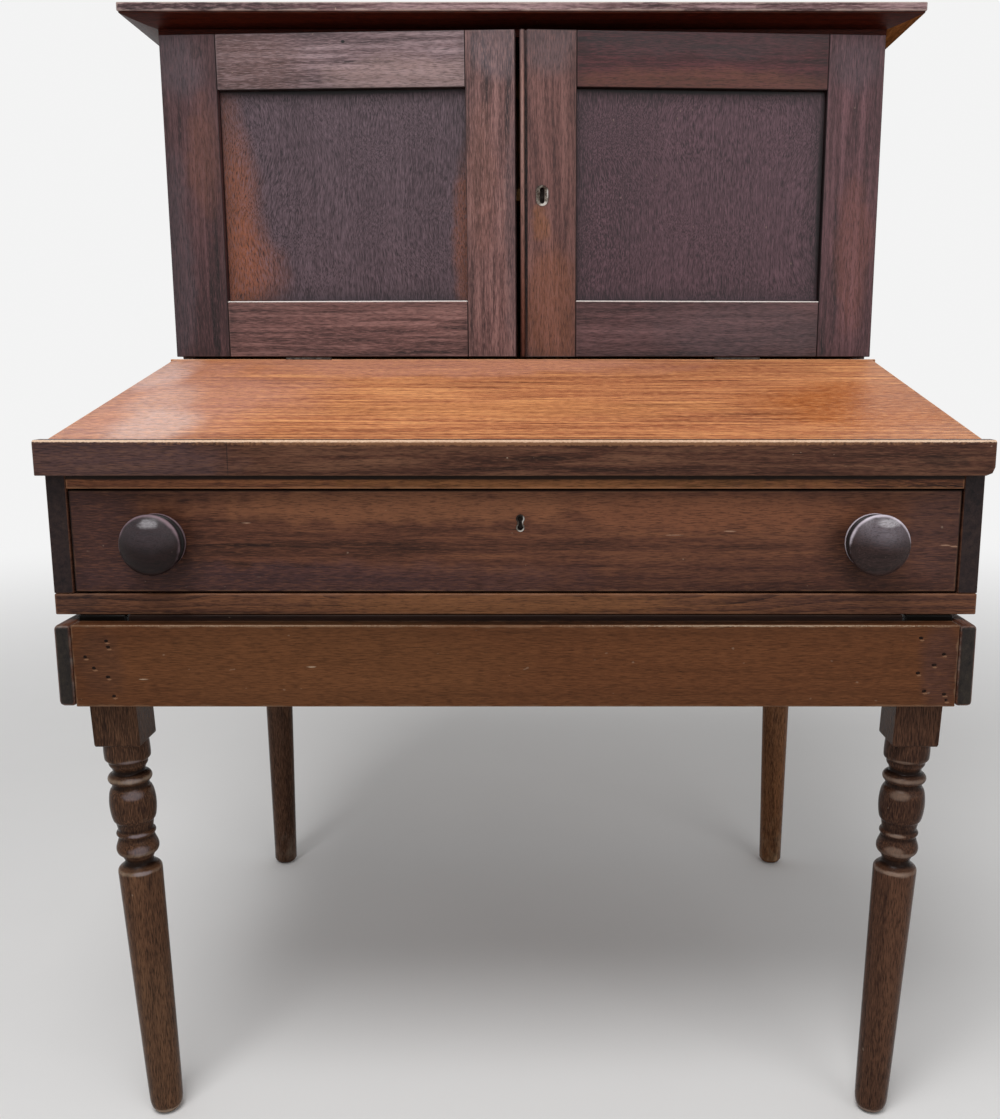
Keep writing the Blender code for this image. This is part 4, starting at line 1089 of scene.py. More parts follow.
@dataclass
class SlantLid:
    """The slanted writing lid with the lip along its front."""

    case: DrawerCase
    half_width: float = 0.4648
    front: float = -0.0005
    lip_round: float = 0.0030
    lip_clip: float = 0.0085

    def build(self, bench: Bench) -> None:
        """Makes the lid and its lip."""
        s, c = math.sin(self.case.slope), math.cos(self.case.slope)
        axis_y, axis_z = FRONT + self.case.lid_axis[0], self.case.lid_axis[1]
        gap, thick, w = self.case.lid_gap / 2, self.case.lid_thick, self.half_width
        back = (-w, axis_y - gap * c, axis_z - gap * s)
        low = (-w, back[1] + thick * s, back[2] - thick * c)
        near = FRONT + self.front
        top = axis_z - (axis_y - near) * s / c
        outline = [back, low, (-w, near, top - thick / c), (-w, near, top)]
        lid = drawn(outline, Vector((2 * w, 0, 0)))
        rule(lid)
        eased(lid, corners(lid), 0.0011)
        lid = carved(lid, self.case.hinge_seats(False))
        middle = (0.0, (axis_y + near) / 2, (axis_z + top) / 2 - thick / 2)
        # The four pale patches towards the left end are painted reflections of light on the finish.
        marks = (Mark((-0.43, -0.18, 0.79), (0.25, 0.26, 0.10), tint(201, 146, 134), 0.60, 0.3),
                 Mark((-0.375, -0.27, 0.76), (0.060, 0.10, 0.10), tint(240, 218, 212), 0.48, 0.30),
                 Mark((-0.400, -0.16, 0.79), (0.050, 0.10, 0.10), tint(238, 214, 206), 0.26, 0.30),
                 Mark((-0.446, -0.02, 0.82), (0.042, 0.12, 0.10), tint(232, 208, 206), 0.44, 0.30),
                 Mark((0.02, -0.20, 0.77), (0.34, 0.050, 0.05), tint(216, 146, 90), 0.40, 0.6),
                 Mark((0.40, -0.17, 0.78), (0.18, 0.16, 0.06), tint(178, 94, 26), 0.68, 0.4),
                 Mark((-0.10, 0.03, 0.82), (0.44, 0.090, 0.06), tint(206, 148, 132), 0.50, 0.5),
                 Mark((0.26, 0.00, 0.82), (0.20, 0.060, 0.05), tint(150, 84, 56), 0.45, 0.5))
        lay = Lay(middle, (w, (axis_y - near) / 2 / c, thick / 2), Grain.ACROSS, 21.0, pith=(-0.07, -0.09),
                  slope=self.case.slope, marks=marks)
        bench.wood("writing_lid", lid, Body.LID, Slot.LID_WOOD, LID_WALNUT, lay)
        self.front_lip(bench)

    def front_lip(self, bench: Bench) -> None:
        """Makes the lip, with its rounded upper edge, pale from use and from a painted highlight, and a
        mended joint.
        """
        lo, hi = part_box("lid_front_lip")
        lip = block(lo, hi)
        rule(lip)
        ridge = [e for e in lip.edges if all(v.co.z > hi.z - 1e-6 and v.co.y < lo.y + 1e-6 for v in e.verts)]
        foot = [e for e in lip.edges if all(v.co.z < lo.z + 1e-6 and v.co.x > hi.x - 1e-6 for v in e.verts)]
        eased(lip, foot, self.lip_clip, 0.1, 2)
        eased(lip, ridge, self.lip_round, 0.3, 5)
        eased(lip, [e for e in corners(lip) if e.calc_face_angle(0.0) > 1.2], 0.0009)
        # The pale line along the rounded upper edge and the golden fray under its middle are partly rubbing
        # and partly painted highlight.
        edge = tint(232, 200, 172)
        worn = Mark((0.0, lo.y + 0.001, hi.z - 0.0006), (1.60, 0.0026, 0.0021), edge, 0.90, 0.40, True)
        marks = (worn,) + Mark.row(
            lo.y, 0.03,
            (-0.2813, 0.7396, 0.0008, 0.03, tint(30, 20, 18), 0.8, 0.1),
            (0.04, hi.z - 0.0030, 0.46, 0.0032, tint(170, 122, 86), 0.42, 0.6, True),
            (-0.40, 0.737, 0.17, 0.040, tint(87, 69, 72), 0.54, 0.4),
            (0.42, 0.737, 0.03, 0.010, tint(40, 26, 22), 0.5, 0.6))
        lay = Lay.between(lo, hi, Grain.ACROSS, 22.0, marks=marks)
        bench.wood("lid_front_lip", lip, Body.LID, Slot.WALNUT, LIP_WALNUT, lay)


@dataclass
class Drawer:
    """The long drawer with its two knobs and its lock."""

    knob_x: float = 0.361
    knob_z: float = 0.6536
    knob_r: float = 0.0292
    knob_length: float = 0.0364
    key_x: float = 0.005
    key_z: float = 0.6722
    key_r: float = 0.0045
    key_waist: float = 0.0032
    key_reach: float = 0.0045
    seat: float = 0.0003
    knob_shape: Tuple[Pair, ...] = (
        (0.0, 0.970), (0.04, 0.985), (0.09, 0.998), (0.14, 0.985), (0.18, 0.945), (0.21, 0.86),
        (0.25, 0.72), (0.31, 0.62), (0.40, 0.60), (0.46, 0.66), (0.495, 0.80), (0.530, 0.945),
        (0.565, 1.025), (0.60, 1.052), (0.635, 1.058), (0.672, 1.045), (0.712, 1.005), (0.760, 0.94),
        (0.812, 0.845), (0.862, 0.730), (0.908, 0.595), (0.948, 0.445), (0.976, 0.290), (0.994, 0.145),
        (1.0, 0.02))

    def build(self, bench: Bench) -> None:
        """Makes the drawer's boards and knobs."""
        lo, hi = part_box("drawer_front")
        front = plank(lo, hi, 0.0012)
        lock_lo, lock_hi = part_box("drawer_lock")
        gap = Vector((self.seat, self.seat, self.seat))
        pocket = block(lock_lo - gap, lock_hi + Vector((self.seat, CLEAR, CLEAR)))
        middle = (self.key_x, lo.y - 0.005, self.key_z)
        hole = keyway(middle, lock_lo.y + 0.001, self.key_r, self.key_waist, self.key_reach, 16)
        front = carved(front, [pocket, hole])
        scuff, shade, black = tint(176, 140, 116), tint(38, 25, 23), tint(14, 9, 8)
        mid_z = (lo.z + hi.z) / 2
        # The near-black lines along the front's four edges paint the shade in the gap round the drawer, and
        # the shade marks paint shadows below and beside the knobs.
        marks = Mark.row(
            lo.y, 0.03,
            (0.0, hi.z, 2.0, 0.0021, black, 0.90, 0.05, True),
            (0.0, lo.z, 2.0, 0.0015, black, 0.80, 0.05, True),
            (lo.x, mid_z, 0.0026, 0.5, black, 0.90, 0.05, True),
            (hi.x, mid_z, 0.0022, 0.5, black, 0.85, 0.05, True),
            (-0.20, 0.614, 0.40, 0.024, tint(72, 51, 55), 0.55, 0.5),
            (0.22, 0.614, 0.36, 0.030, tint(66, 39, 33), 0.52, 0.5),
            (-0.13, 0.690, 0.26, 0.024, tint(140, 92, 64), 0.65, 0.6),
            (0.20, 0.684, 0.22, 0.024, tint(136, 86, 60), 0.58, 0.6),
            (-0.44, 0.655, 0.08, 0.075, tint(62, 42, 42), 0.74, 0.4),
            (0.44, 0.655, 0.07, 0.075, tint(70, 50, 50), 0.55, 0.4),
            (-0.2713, 0.6724, 0.006, 0.0008, scuff, 0.8, 0.2),
            (0.2165, 0.6640, 0.008, 0.0009, scuff, 0.7, 0.3),
            (0.1600, 0.6600, 0.012, 0.0008, scuff, 0.5, 0.4),
            (0.4350, 0.6496, 0.007, 0.0009, scuff, 0.7, 0.3),
            (0.4440, 0.6484, 0.006, 0.0010, scuff, 0.9, 0.3),
            (self.knob_x - 0.010, self.knob_z - 0.010, 0.052, 0.046, shade, 0.60, 0.2),
            (0.010 - self.knob_x, self.knob_z - 0.012, 0.052, 0.046, shade, 0.60, 0.2))
        lay = Lay.between(lo, hi, Grain.ACROSS, 31.0, pith=(0.05, 0.03), marks=marks)
        bench.wood("drawer_front", front, Body.DRAWER, Slot.WALNUT, WALNUT, lay)
        for index, side in enumerate(Side):
            bench.board(f"drawer_side_{side.word}", Body.DRAWER, Slot.PINE, PINE, Grain.DEEP, 32.0 + index)
            self.knob(bench, side, 36.0 + index, lo.y)
        bench.board("drawer_back", Body.DRAWER, Slot.PINE, PINE, Grain.ACROSS, 34.0)
        bench.board("drawer_bottom", Body.DRAWER, Slot.PINE, PINE, Grain.ACROSS, 35.0)

    def knob(self, bench: Bench, side: Side, seed: float, face: float) -> None:
        """Makes a turned knob: a base, a groove and a broad domed face."""
        profile = [(h * self.knob_length, r * self.knob_r) for h, r in self.knob_shape]
        knob = turned(softened(profile, 1), 72)
        relief = knob.verts.layers.float["relief"]
        # The relief paints highlights on the rims of the dome and the base, brighter towards the top where
        # the light falls, and paints shade into the groove between them.
        for vert in knob.verts:
            height = vert.co.z / self.knob_length
            rim = 0.9 * max(0.0, 1.0 - abs(height - 0.69) / 0.10) + 1.4 * float(height < 0.15)
            rubbed_and_lit = 0.72 + 0.42 * vert.co.y / self.knob_r
            vert[relief] = rim * rubbed_and_lit - float(0.17 < height < 0.53)
        x, near = side.value * self.knob_x, face - self.knob_length
        place = Matrix.Translation((x, face - self.seat, self.knob_z)) @ Matrix.Rotation(math.pi / 2, 4, "X")
        bmesh.ops.transform(knob, matrix=place, verts=knob.verts)
        # A pale patch over the dome's upper half and a small glint near its top rim are painted highlights.
        top_highlight = Mark((x, near, self.knob_z + 0.030), (0.052, 0.06, 0.040), tint(118, 110, 117),
                      side.pick(0.18, 0.66), 0.30)
        across, up, wide, strength = side.pick((0.002, 0.0222, 0.0120, 0.44), (0.008, 0.0232, 0.0170, 0.64))
        glint = Mark((x + across, near, self.knob_z + up), (wide, 0.04, 0.0058), tint(190, 186, 190),
                     strength, 0.30)
        middle = (x, face - self.knob_length / 2, self.knob_z)
        half = (self.knob_r, self.knob_length / 2, self.knob_r)
        tone = side.pick((0.47, 0.35, 0.39), (1.36, 1.30, 1.42))
        lay = Lay(middle, half, Grain.ACROSS, seed, pith=(0.02, 0.05), turned=True, tone=tone,
                  marks=(top_highlight, glint))
        bench.wood(f"knob_{side.word}", knob, Body.DRAWER, Slot.DARK_TURNED, KNOB_WALNUT, lay, "turning")


@dataclass
class Cabinet:
    """The cabinet on top, with its cornice."""

    half: float = 0.470
    face: float = 0.437
    depth: float = 0.679
    low: float = 0.839029
    door_height: float = 0.410
    hinge_inset: float = 0.045
    hinge_out: float = 0.0006
    crown_low: float = 1.250829
    crown_reach: float = 0.043
    crown_fillet: float = 0.0092
    crown_step: float = 0.006
    crown_rise: float = 0.0095
    crown_edge: float = 0.0015
    back_seams: Tuple[float, ...] = (-0.245, 0.012, 0.262)
    seat: float = 0.0003
    hinge: ButtHinge = field(default_factory=lambda: ButtHinge(0.055, 0.0008))

    def hinge_places(self, side: Side) -> List[Matrix]:
        """Returns the axes of a door's two hinges, with the door shut."""
        reach = self.hinge_inset + self.hinge.length / 2
        s = side.value
        x, y = s * (self.half + self.hinge_out), FRONT + self.face - self.hinge.gap / 2
        heights = (self.low + reach, self.low + self.door_height - reach)
        return [Matrix(((s, 0, 0, x), (0, 1, 0, y), (0, 0, s, z), (0, 0, 0, 1))) for z in heights]

    def build(self, bench: Bench) -> None:
        """Makes the cabinet's boards and the cornice."""
        for index, side in enumerate(Side):
            node = f"cabinet_side_{side.word}"
            lo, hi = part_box(node)
            bm = carved(plank(lo, hi, 0.0010), self.hinge.seats(self.hinge_places(side), True))
            lay = Lay.between(lo, hi, Grain.UPRIGHT, 41.0 + index)
            bench.wood(node, bm, Body.DESK, Slot.WALNUT, DOOR_WALNUT, lay)
        bench.board("cabinet_shelf", Body.DESK, Slot.PINE, PINE, Grain.ACROSS, 43.0)
        lo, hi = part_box("cabinet_back")
        seams = (lo.x, *self.back_seams, hi.x)
        parts = [plank(Vector((a, lo.y, lo.z)), Vector((b, hi.y, hi.z))) for a, b in zip(seams, seams[1:])]
        lay = Lay.between(lo, hi, Grain.UPRIGHT, 44.0)
        bench.wood("cabinet_back", joined(parts), Body.DESK, Slot.PINE, PINE, lay, "boards")
        bench.board("cornice_board", Body.DESK, Slot.WALNUT, CORNICE_WALNUT, Grain.ACROSS, 45.0, 0.0014)
        self.crown(bench)

    def crown_line(self) -> List[Pair]:
        """Returns the moulding's outline as pairs of a reach from the cabinet and a height."""
        fillet = self.crown_low + self.crown_fillet
        span = self.crown_reach - self.crown_step
        line = [(self.seat, self.crown_low), (self.crown_step, self.crown_low), (self.crown_step, fillet)]
        for t in (k / 16 for k in range(1, 16)):
            line.append((self.crown_step + span * t, fillet + self.crown_rise * (0.72 * t + 0.28 * t * t)))
        rise = fillet + self.crown_rise
        top = rise + self.crown_edge
        return line + [(self.crown_reach, rise), (self.crown_reach, top), (self.seat, top)]

    def crown(self, bench: Bench) -> None:
        """Makes the mitred moulding under the cornice board."""
        play = self.seat * 0.75
        front_y = FRONT + self.face
        line = self.crown_line()
        bm = drawn([(-1.0, front_y - p, z) for p, z in line], Vector((2.0, 0, 0)))
        for sign in (-1, 1):
            ends = [v for v in bm.verts if v.co.x * sign > 0]
            reach = self.half - play + front_y
            shear = Matrix(((0, -sign, 0, sign * reach), (0, 1, 0, 0), (0, 0, 1, 0), (0, 0, 0, 1)))
            bmesh.ops.transform(bm, matrix=shear, verts=ends)
        self.moulding(bench, "crown_front", bm, Grain.ACROSS, 46.0)
        for index, side in enumerate(Side):
            s = side.value
            back = FRONT + self.depth
            bm = drawn([(s * (self.half + p), back, z) for p, z in line], Vector((0, -1.0, 0)))
            ends = [v for v in bm.verts if v.co.y < back - 0.5]
            mitre = front_y + play + self.half
            shear = Matrix(((1, 0, 0, 0), (-s, 0, 0, mitre), (0, 0, 1, 0), (0, 0, 0, 1)))
            bmesh.ops.transform(bm, matrix=shear, verts=ends)
            # The right return takes the lighter copy: painted light.
            finish = side.pick(CROWN_WALNUT, RETURN_WALNUT)
            self.moulding(bench, f"crown_{side.word}", bm, Grain.DEEP, 47.0 + index, finish)

    @staticmethod
    def moulding(bench: Bench, node: str, bm: Solid, grain: Grain, seed: float,
                 finish: WoodFinish = CROWN_WALNUT) -> None:
        """Shades the curve smoothly and makes the piece."""
        bmesh.ops.recalc_face_normals(bm, faces=bm.faces)
        for face in bm.faces:
            face.smooth = True
        for edge in bm.edges:
            edge.smooth = edge.calc_face_angle(0.0) < 0.5
        lay = Lay.between(*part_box(node), grain, seed)
        bench.wood(node, bm, Body.DESK, Slot.DARK_TURNED, finish, lay, "moulding")


@dataclass
class Door:
    """A framed door with a flat panel, a little open."""

    side: Side
    cabinet: Cabinet
    edge: float
    meeting: float
    tones: Dict[str, Rgb]
    marks: Dict[str, Tuple[Mark, ...]]
    outer: float = 0.4697
    hinge_stile: float = 0.0735
    top_rail: float = 0.0685
    bottom_rail: float = 0.0735
    near: float = 0.415
    thick: float = 0.0212
    recess: float = 0.0090
    panel: float = 0.0100
    open_deg: float = 3.0
    bead_r: float = 0.0031
    bead_edge: float = 0.0006
    quirk: Pair = (0.0028, 0.0055)
    key_x: float = 0.0285
    key_rise: float = 0.207
    key_slot: Point = (0.0031, 0.0072, 0.0110)
    plate_slot: Point = (0.0081, 0.0052, 0.0023)
    pocket: Point = (0.0563, 0.0115, 0.0253)
    lock_thick: float = 0.0112
    bolt_rise: float = 0.011
    strike: Tuple[float, float, float] = (0.0132, 0.0204, 0.0099)
    seat: float = 0.0003

    @property
    def body(self) -> Body:
        """The body that the door moves with."""
        return self.side.pick(Body.LEFT_DOOR, Body.RIGHT_DOOR)

    @property
    def swing(self) -> float:
        """How far the door stands open, in radians about the upright."""
        return math.radians(self.open_deg) * self.side.value

    @property
    def pin(self) -> Vector:
        """A point on the hinge line."""
        c = self.cabinet
        return Vector((self.side.value * (c.half + c.hinge_out), FRONT + c.face - c.hinge.gap / 2, 0.0))

    def opened(self, bm: Solid) -> Solid:
        """Returns a solid after the door's swing."""
        bmesh.ops.rotate(bm, cent=self.pin, matrix=Matrix.Rotation(self.swing, 3, "Z"), verts=bm.verts)
        return bm

    def lay(self, lo: Vector, hi: Vector, grain: Grain, seed: float, **more: object) -> Lay:
        """Returns the lay of one of the door's boards, after the swing."""
        middle = self.pin + Matrix.Rotation(self.swing, 3, "Z") @ ((lo + hi) / 2 - self.pin)
        return Lay(tuple(middle), tuple((hi - lo) / 2), grain, seed, swing=self.swing, hang=self.pin, **more)

    def build(self, bench: Bench) -> None:
        """Makes the stiles, the rails and the panel."""
        s = self.side.value
        base = self.side.pick(51.0, 61.0)
        low, high = self.cabinet.low, self.cabinet.low + self.cabinet.door_height
        y0 = FRONT + self.near
        y1 = y0 + self.thick
        inner_hinge = s * (self.outer - self.hinge_stile)
        inner_meet = self.edge + s * self.meeting
        x0, x1 = sorted((inner_hinge, inner_meet))
        z0, z1 = low + self.bottom_rail, high - self.top_rail
        ends = sorted((s * self.outer, inner_hinge))
        lo, hi = Vector((ends[0], y0, low)), Vector((ends[1], y1, high))
        seats = self.cabinet.hinge.seats(self.cabinet.hinge_places(self.side), False)
        self.member(bench, "hinge_stile", carved(plank(lo, hi), seats), lo, hi, Grain.UPRIGHT, base)
        for index, (level, a, b) in enumerate((("bottom", low, z0), ("top", z1, high))):
            lo, hi = Vector((x0 + self.seat, y0, a)), Vector((x1 - self.seat, y1, b))
            self.member(bench, f"{level}_rail", plank(lo, hi), lo, hi, Grain.ACROSS, base + 1 + index)
        ends = sorted((self.edge, inner_meet))
        lo, hi = Vector((ends[0], y0, low)), Vector((ends[1], y1, high))
        stile = self.struck_stile(lo, hi) if self.side is Side.LEFT else self.beaded_stile(lo, hi)
        self.member(bench, "meeting_stile", stile, lo, hi, Grain.UPRIGHT, base + 3)
        self.flat_panel(bench, x0, x1, z0, z1, base + 4)

    def member(self, bench: Bench, part: str, bm: Solid, lo: Vector, hi: Vector, grain: Grain,
               seed: float) -> None:
        """Makes one board of the frame."""
        lay = self.lay(lo, hi, grain, seed, tone=self.tones[part], marks=self.marks[part])
        bench.wood(f"{self.side.word}_{part}", self.opened(bm), self.body, Slot.WALNUT, DOOR_WALNUT, lay)

    def struck_stile(self, lo: Vector, hi: Vector) -> Solid:
        """Returns the meeting stile with the mortise that takes the other door's bolt."""
        deep, tall, wide = self.strike
        middle = Vector((hi.x, hi.y - self.lock_thick / 2, lo.z + self.key_rise + self.bolt_rise))
        half = Vector((0.0, wide / 2, tall / 2))
        mortise = block(middle - half - Vector((deep, 0, 0)), middle + half + Vector((CLEAR, 0, 0)))
        return carved(plank(lo, hi), [mortise])

    def beaded_stile(self, lo: Vector, hi: Vector) -> Solid:
        """Returns the meeting stile with its bead and quirk, the lock's pocket and the keyhole."""
        r, (wide, deep), e = self.bead_r, self.quirk, self.bead_edge
        line = [(lo.x, hi.y - e), (lo.x, lo.y + r)]
        for k in range(1, 16):
            angle = math.pi + math.pi * k / 16
            line.append((lo.x + r + r * math.cos(angle), lo.y + r + r * math.sin(angle)))
        q = lo.x + 2 * r
        line += [(q, lo.y + r), (q, lo.y + deep), (q + wide, lo.y + deep), (q + wide, lo.y + e)]
        line += [(q + wide + e, lo.y), (hi.x - e, lo.y), (hi.x, lo.y + e)]
        line += [(hi.x, hi.y - e), (hi.x - e, hi.y), (lo.x + e, hi.y)]
        bm = drawn([(x, y, lo.z) for x, y in line], Vector((0, 0, hi.z - lo.z)))
        for face in bm.faces:
            face.smooth = len(face.verts) == 4 and face.calc_area() < 0.0007 * (hi.z - lo.z)
        key = Vector((lo.x + self.key_x, lo.y - CLEAR, lo.z + self.key_rise))
        wide, deep, half = self.pocket
        pocket = block(Vector((lo.x - CLEAR, hi.y - deep, key.z - half)),
                       Vector((lo.x + wide, hi.y + CLEAR, key.z + half)))
        slots = []
        for radius, reach, deep in (self.key_slot, self.plate_slot):
            slots.append(keyway(key, lo.y + deep, radius, radius, reach, 14))
        return carved(bm, [pocket, *slots])

    def flat_panel(self, bench: Bench, x0: float, x1: float, z0: float, z1: float, seed: float) -> None:
        """Makes the panel that sits back in the frame."""
        y0 = FRONT + self.near + self.recess
        lo = Vector((x0 + self.seat, y0, z0 + self.seat))
        hi = Vector((x1 - self.seat, y0 + self.panel, z1 - self.seat))
        lay = self.lay(lo, hi, Grain.UPRIGHT, seed, tone=self.tones["panel"], marks=self.marks["panel"],
                       pith=(0.02, 0.05))
        bench.wood(f"{self.side.word}_panel", self.opened(plank(lo, hi, 0.0005)), self.body, Slot.PANEL_WOOD,
                   PANEL_WALNUT, lay)


def door_rows() -> Tuple[Callable[..., Tuple[Mark, ...]], ...]:
    """Returns what lays marks on a door's face, in the step down to its panel, where the painted shade lines
    go, and along the step's edge, where the painted highlight lines go.
    """
    y = FRONT + Door.near
    return partial(Mark.row, y, 0.06), partial(Mark.row, y + 0.0050, 0.0062), partial(Mark.row, y, 0.0022)


def left_door(cabinet: Cabinet) -> Door:
    """Returns the left door with its own boards' tones and marks."""
    face, step, edge = door_rows()
    cool, warm, amber, black = tint(80, 71, 77), tint(124, 80, 66), tint(164, 94, 56), tint(10, 8, 9)
    # The near-black lines under the top rail and along the panel's top paint the shade where the rail stands
    # over the panel, and the pale line along the bottom rail's top edge is a painted highlight.
    marks = {
        "hinge_stile": face(
            (-0.455, 1.215, 0.055, 0.065, cool, 0.60, 0.4),
            (-0.462, 0.960, 0.032, 0.170, cool, 0.50, 0.5),
            (-0.418, 1.090, 0.030, 0.100, warm, 0.40, 0.5),
            (-0.421, 1.226, 0.009, 0.012, tint(40, 30, 32), 0.7, 0.8)),
        "top_rail": face(
            (-0.2288, 1.2374, 0.0034, 0.0026, tint(6, 5, 5), 1.0, 0.1, True),
            (-0.375, 1.215, 0.120, 0.070, tint(98, 70, 63), 0.55, 0.5),
            (-0.150, 1.192, 0.15, 0.034, tint(164, 138, 132), 0.50, 0.5)) + step(
            (-0.234, 1.1805, 0.50, 0.0016, black, 0.97, 0.05, True)),
        "bottom_rail": edge(
            (-0.234, 0.9122, 0.50, 0.0016, tint(232, 224, 220), 0.95, 0.2, True)),
        "meeting_stile": face(
            (-0.030, 1.230, 0.055, 0.050, tint(104, 94, 100), 0.55, 0.4),
            (-0.010, 1.000, 0.014, 0.250, cool, 0.40, 0.5),
            (-0.052, 1.070, 0.028, 0.120, tint(136, 94, 82), 0.35, 0.5)),
        "panel": face(
            (-0.402, 1.050, 0.056, 0.190, amber, 0.40, 0.22),
            (-0.400, 0.985, 0.072, 0.170, amber, 0.38, 0.22),
            (-0.398, 0.930, 0.100, 0.110, amber, 0.36, 0.25),
            (-0.070, 0.990, 0.026, 0.150, amber, 0.50, 0.25),
            (-0.234, 1.1805, 0.25, 0.0075, black, 0.95, 0.15, True)),
    }
    tones = {"hinge_stile": (0.55, 0.54, 0.75), "top_rail": (1.40, 2.00, 2.75), "panel": (0.94, 1.06, 1.33),
             "bottom_rail": (1.30, 1.40, 1.65), "meeting_stile": (1.38, 1.52, 1.82)}
    return Door(Side.LEFT, cabinet, edge=-0.0075, meeting=0.0640, tones=tones, marks=marks)


def right_door(cabinet: Cabinet) -> Door:
    """Returns the right door with its own boards' tones and marks."""
    face, step, edge = door_rows()
    cool, warm, line, black = tint(82, 72, 77), tint(116, 72, 54), tint(232, 224, 220), tint(10, 8, 9)
    # The near-black lines under the top rail, along the panel's top and right edge, and down the hinge
    # stile's inner edge paint the shade at the step down to the panel, and the pale line along the bottom
    # rail's top edge is a painted highlight.
    marks = {
        "hinge_stile": face(
            (0.435, 1.215, 0.055, 0.055, tint(74, 64, 70), 0.55, 0.5),
            (0.440, 0.975, 0.032, 0.120, tint(126, 76, 64), 0.40, 0.5)) + step(
            (0.3962, 1.045, 0.0016, 0.40, black, 0.95, 0.05, True)),
        "top_rail": face(
            (0.230, 1.187, 0.240, 0.024, warm, 0.50, 0.4),
            (0.230, 1.240, 0.240, 0.030, tint(70, 58, 62), 0.35, 0.5)) + step(
            (0.230, 1.1805, 0.50, 0.0016, black, 0.97, 0.05, True)),
        "bottom_rail": face(
            (0.300, 0.875, 0.200, 0.050, cool, 0.45, 0.5)) + edge(
            (0.230, 0.9122, 0.50, 0.0016, line, 0.90, 0.2, True)),
        "meeting_stile": face(
            (0.035, 0.900, 0.050, 0.110, tint(132, 82, 54), 0.50, 0.4),
            (0.030, 1.240, 0.060, 0.055, tint(92, 80, 84), 0.60, 0.4),
            (0.022, 1.012, 0.016, 0.030, tint(146, 94, 58), 0.50, 0.7),
            (0.024, 1.046, 0.013, 0.016, tint(44, 31, 26), 0.70, 0.5),
            (-0.0014, 1.045, 0.0036, 0.300, tint(168, 128, 116), 0.65, 0.1),
            (0.0031, 1.045, 0.0028, 0.300, tint(10, 7, 7), 1.00, 0.05)),
        "panel": face(
            (0.234, 1.1805, 0.25, 0.0075, black, 0.95, 0.15, True),
            (0.396, 1.0450, 0.0085, 0.180, black, 0.80, 0.15, True)),
    }
    tones = {"hinge_stile": (0.67, 0.63, 0.93), "top_rail": (0.435, 0.24, 0.355), "panel": (0.88, 0.78, 1.02),
             "bottom_rail": (0.74, 0.78, 1.04), "meeting_stile": (0.93, 0.89, 1.02)}
    return Door(Side.RIGHT, cabinet, edge=-0.0045, meeting=0.0730, tones=tones, marks=marks)


@dataclass
class Hardware:
    """Hinges, locks and keyhole plates, which keep their own solids."""

    iron: Tuple[str, ...] = ("lid_hinge_case", "lid_hinge_lid")
    locks: Tuple[str, ...] = ("drawer_lock", "door_lock")
    plates: Tuple[str, ...] = ("drawer_escutcheon", "door_escutcheon", "drawer_lock_bolt", "door_lock_bolt")

    def build(self, bench: Bench) -> None:
        """Refinishes the metal."""
        leaf = IRON.material("hinge_iron", 5.0)
        for side in Side:
            for stem in self.iron:
                bench.refinish(f"{stem}_{side.word}", leaf)
            for part in ("case", "door"):
                for level in ("lower", "upper"):
                    bench.refinish(f"{side.word}_hinge_{part}_{level}", leaf)
        for node in self.locks:
            bench.refinish(node, IRON.material(f"{node}_iron", 6.0))
        for index, node in enumerate(self.plates):
            lo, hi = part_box(node)
            low = ((lo.x * 0.40 + hi.x * 0.60), lo.y, lo.z)
            beside = (hi.x, lo.y, (lo.z + hi.z) / 2 + 0.003)
            # Pale patches at the bottom and the right side paint highlights on each piece, and a dark one at
            # the top paints shade.
            highlights_and_shade = (Mark(low, (0.007, 0.02, 0.007), tint(200, 194, 186), 0.75, 0.8),
                      Mark(beside, (0.0026, 0.02, 0.007), tint(210, 206, 200), 0.6, 0.7),
                      Mark((lo.x, lo.y, hi.z), (0.010, 0.02, 0.007), tint(36, 30, 27), 0.85, 0.7))
            bench.refinish(node, STEEL.material(f"{node}_steel", 8.0 + index, highlights_and_shade))


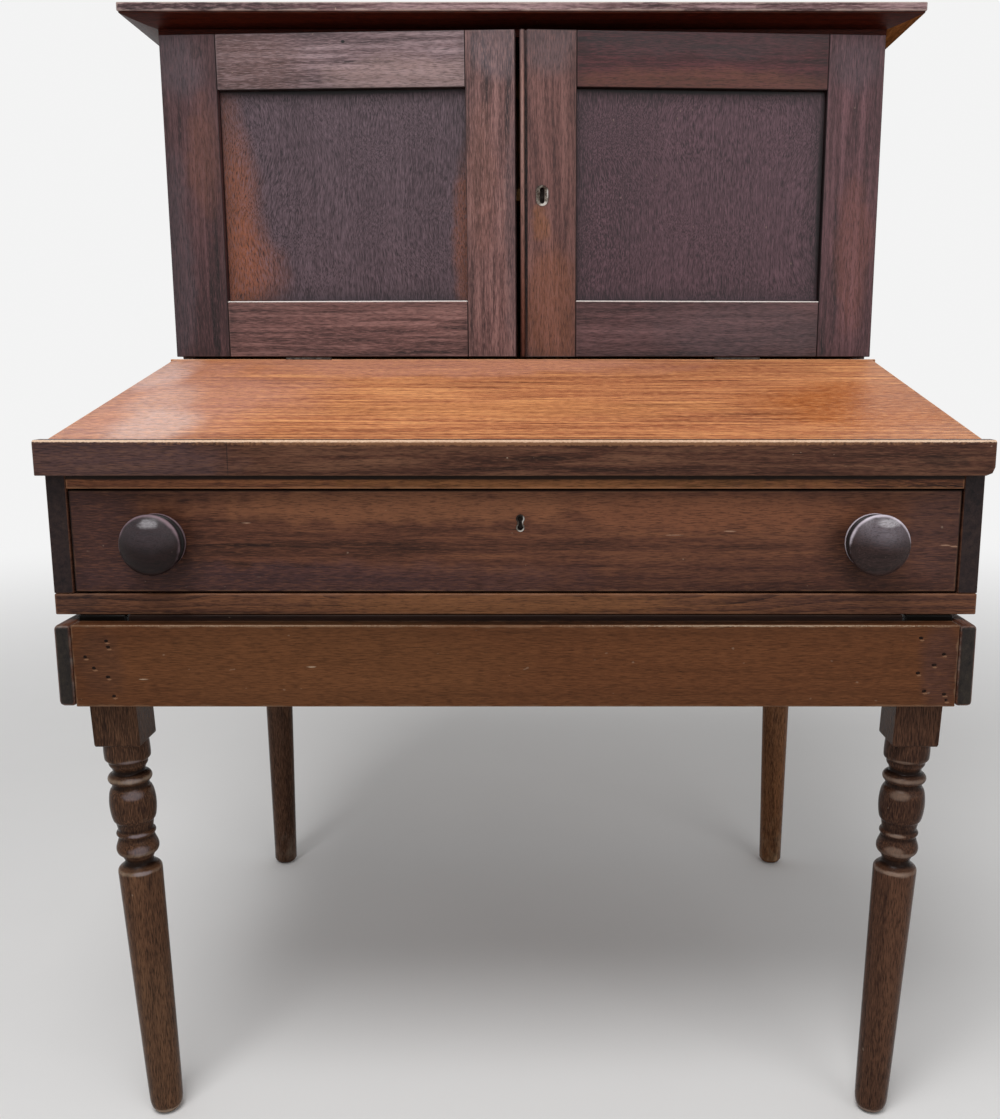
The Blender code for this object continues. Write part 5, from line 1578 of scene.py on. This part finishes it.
@dataclass
class Studio:
    """A pale floor, soft light and the camera."""

    eye: Point = (0.0316, -1.39375, 0.8322)
    pitch_deg: float = 9.942
    lens: float = 34.64
    shift: Pair = (-0.0417, -0.0079)
    floor_colour: Rgb = (0.86, 0.855, 0.85)
    sky_colour: Rgb = (0.90, 0.90, 0.90)
    unseen: float = 0.42
    key: Tuple[Point, Point, float, float] = ((-0.5, -1.7, 3.5), (0.0, -0.05, 0.8), 1.6, 72.0)
    fill: Tuple[Point, Point, float, float] = ((1.8, -2.4, 1.6), (0.0, -0.1, 0.7), 1.6, 14.0)

    def build(self) -> None:
        """Makes the floor, the light and the camera."""
        self.floor()
        self.world()
        self.lamp("key", *self.key)
        self.lamp("fill", *self.fill)
        self.camera()
        bpy.context.scene.view_settings.view_transform = "Standard"

    def floor(self) -> None:
        """Makes the floor, which fades into the background far from the desk."""
        bm = bmesh.new()
        bmesh.ops.create_circle(bm, cap_ends=True, segments=96, radius=14.0)
        mesh = bpy.data.meshes.new("floor")
        bm.to_mesh(mesh)
        bm.free()
        obj = bpy.data.objects.new("floor", mesh)
        bpy.context.scene.collection.objects.link(obj)
        recipe = Recipe.named("floor_pale")
        raw = recipe.node("ShaderNodeTexCoord", output="Object")
        far = recipe.vector("LENGTH", raw, output="Value").step(0.9, 4.2)
        speck = recipe.cloud(raw, (9.0, 9.0, 9.0), 2.0, 3.0)
        colour = recipe.mix(speck, times(self.floor_colour, (0.98, 0.98, 0.98)), self.floor_colour)
        recipe.dress({"Base Color": colour, "Roughness": 0.8})
        path = self.seen_paths(recipe)
        glow = recipe.node("ShaderNodeEmission", None, {"Color": self.sky_colour, "Strength": 1.0})
        plain = Tone(recipe, recipe.shader.outputs[0])
        both = recipe.node("ShaderNodeMixShader", None, {0: far * path, 1: plain, 2: glow})
        recipe.feed(recipe.tree.nodes["Material Output"].inputs["Surface"], both)
        mesh.materials.append(recipe.owner)

    @staticmethod
    def seen_paths(recipe: Recipe) -> Tone:
        """Returns 1 on the paths that show the background, and 0 on those that only light the desk."""
        names = ("Is Camera Ray", "Is Glossy Ray", "Is Transmission Ray")
        rays = [recipe.node("ShaderNodeLightPath", output=name) for name in names]
        return rays[0].maths("MAXIMUM", rays[1]).maths("MAXIMUM", rays[2])

    def world(self) -> None:
        """Makes the soft light from all round and the pale background."""
        world = bpy.data.worlds.new("studio")
        bpy.context.scene.world = world
        recipe = Recipe(world)
        ground = recipe.tree.nodes["Background"]
        sockets = {"Value": self.seen_paths(recipe), "To Min": self.unseen, "To Max": 1.0}
        recipe.feed(ground.inputs["Color"], self.sky_colour)
        recipe.feed(ground.inputs["Strength"], recipe.node("ShaderNodeMapRange", None, sockets))

    @staticmethod
    def lamp(name: str, place: Point, aim: Point, size: float, power: float) -> None:
        """Makes a soft square lamp."""
        data = bpy.data.lights.new(name, "AREA")
        data.shape = "SQUARE"
        data.size = size
        data.energy = power
        obj = bpy.data.objects.new(name, data)
        bpy.context.scene.collection.objects.link(obj)
        obj.location = place
        obj.rotation_euler = (Vector(aim) - Vector(place)).to_track_quat("-Z", "Y").to_euler()

    def camera(self) -> None:
        """Sets the camera where the photograph was taken."""
        data = bpy.data.cameras.new("camera")
        data.sensor_width = 36.0
        data.lens = self.lens
        data.shift_x, data.shift_y = self.shift
        data.clip_end = 60.0
        obj = bpy.data.objects.new("camera", data)
        bpy.context.scene.collection.objects.link(obj)
        obj.location = self.eye
        obj.rotation_euler = (math.radians(90.0 - self.pitch_deg), 0.0, 0.0)
        bpy.context.scene.camera = obj


def main() -> None:
    """Builds the desk's sub-assemblies in order, then the studio."""
    logging.basicConfig(level=logging.INFO, format="%(message)s")
    bench = Bench()
    case = DrawerCase()
    cabinet = Cabinet()
    Stand().build(bench)
    case.build(bench)
    SlantLid(case).build(bench)
    Drawer().build(bench)
    cabinet.build(bench)
    left_door(cabinet).build(bench)
    right_door(cabinet).build(bench)
    Hardware().build(bench)
    Studio().build()


if __name__ == "__main__":
    main()
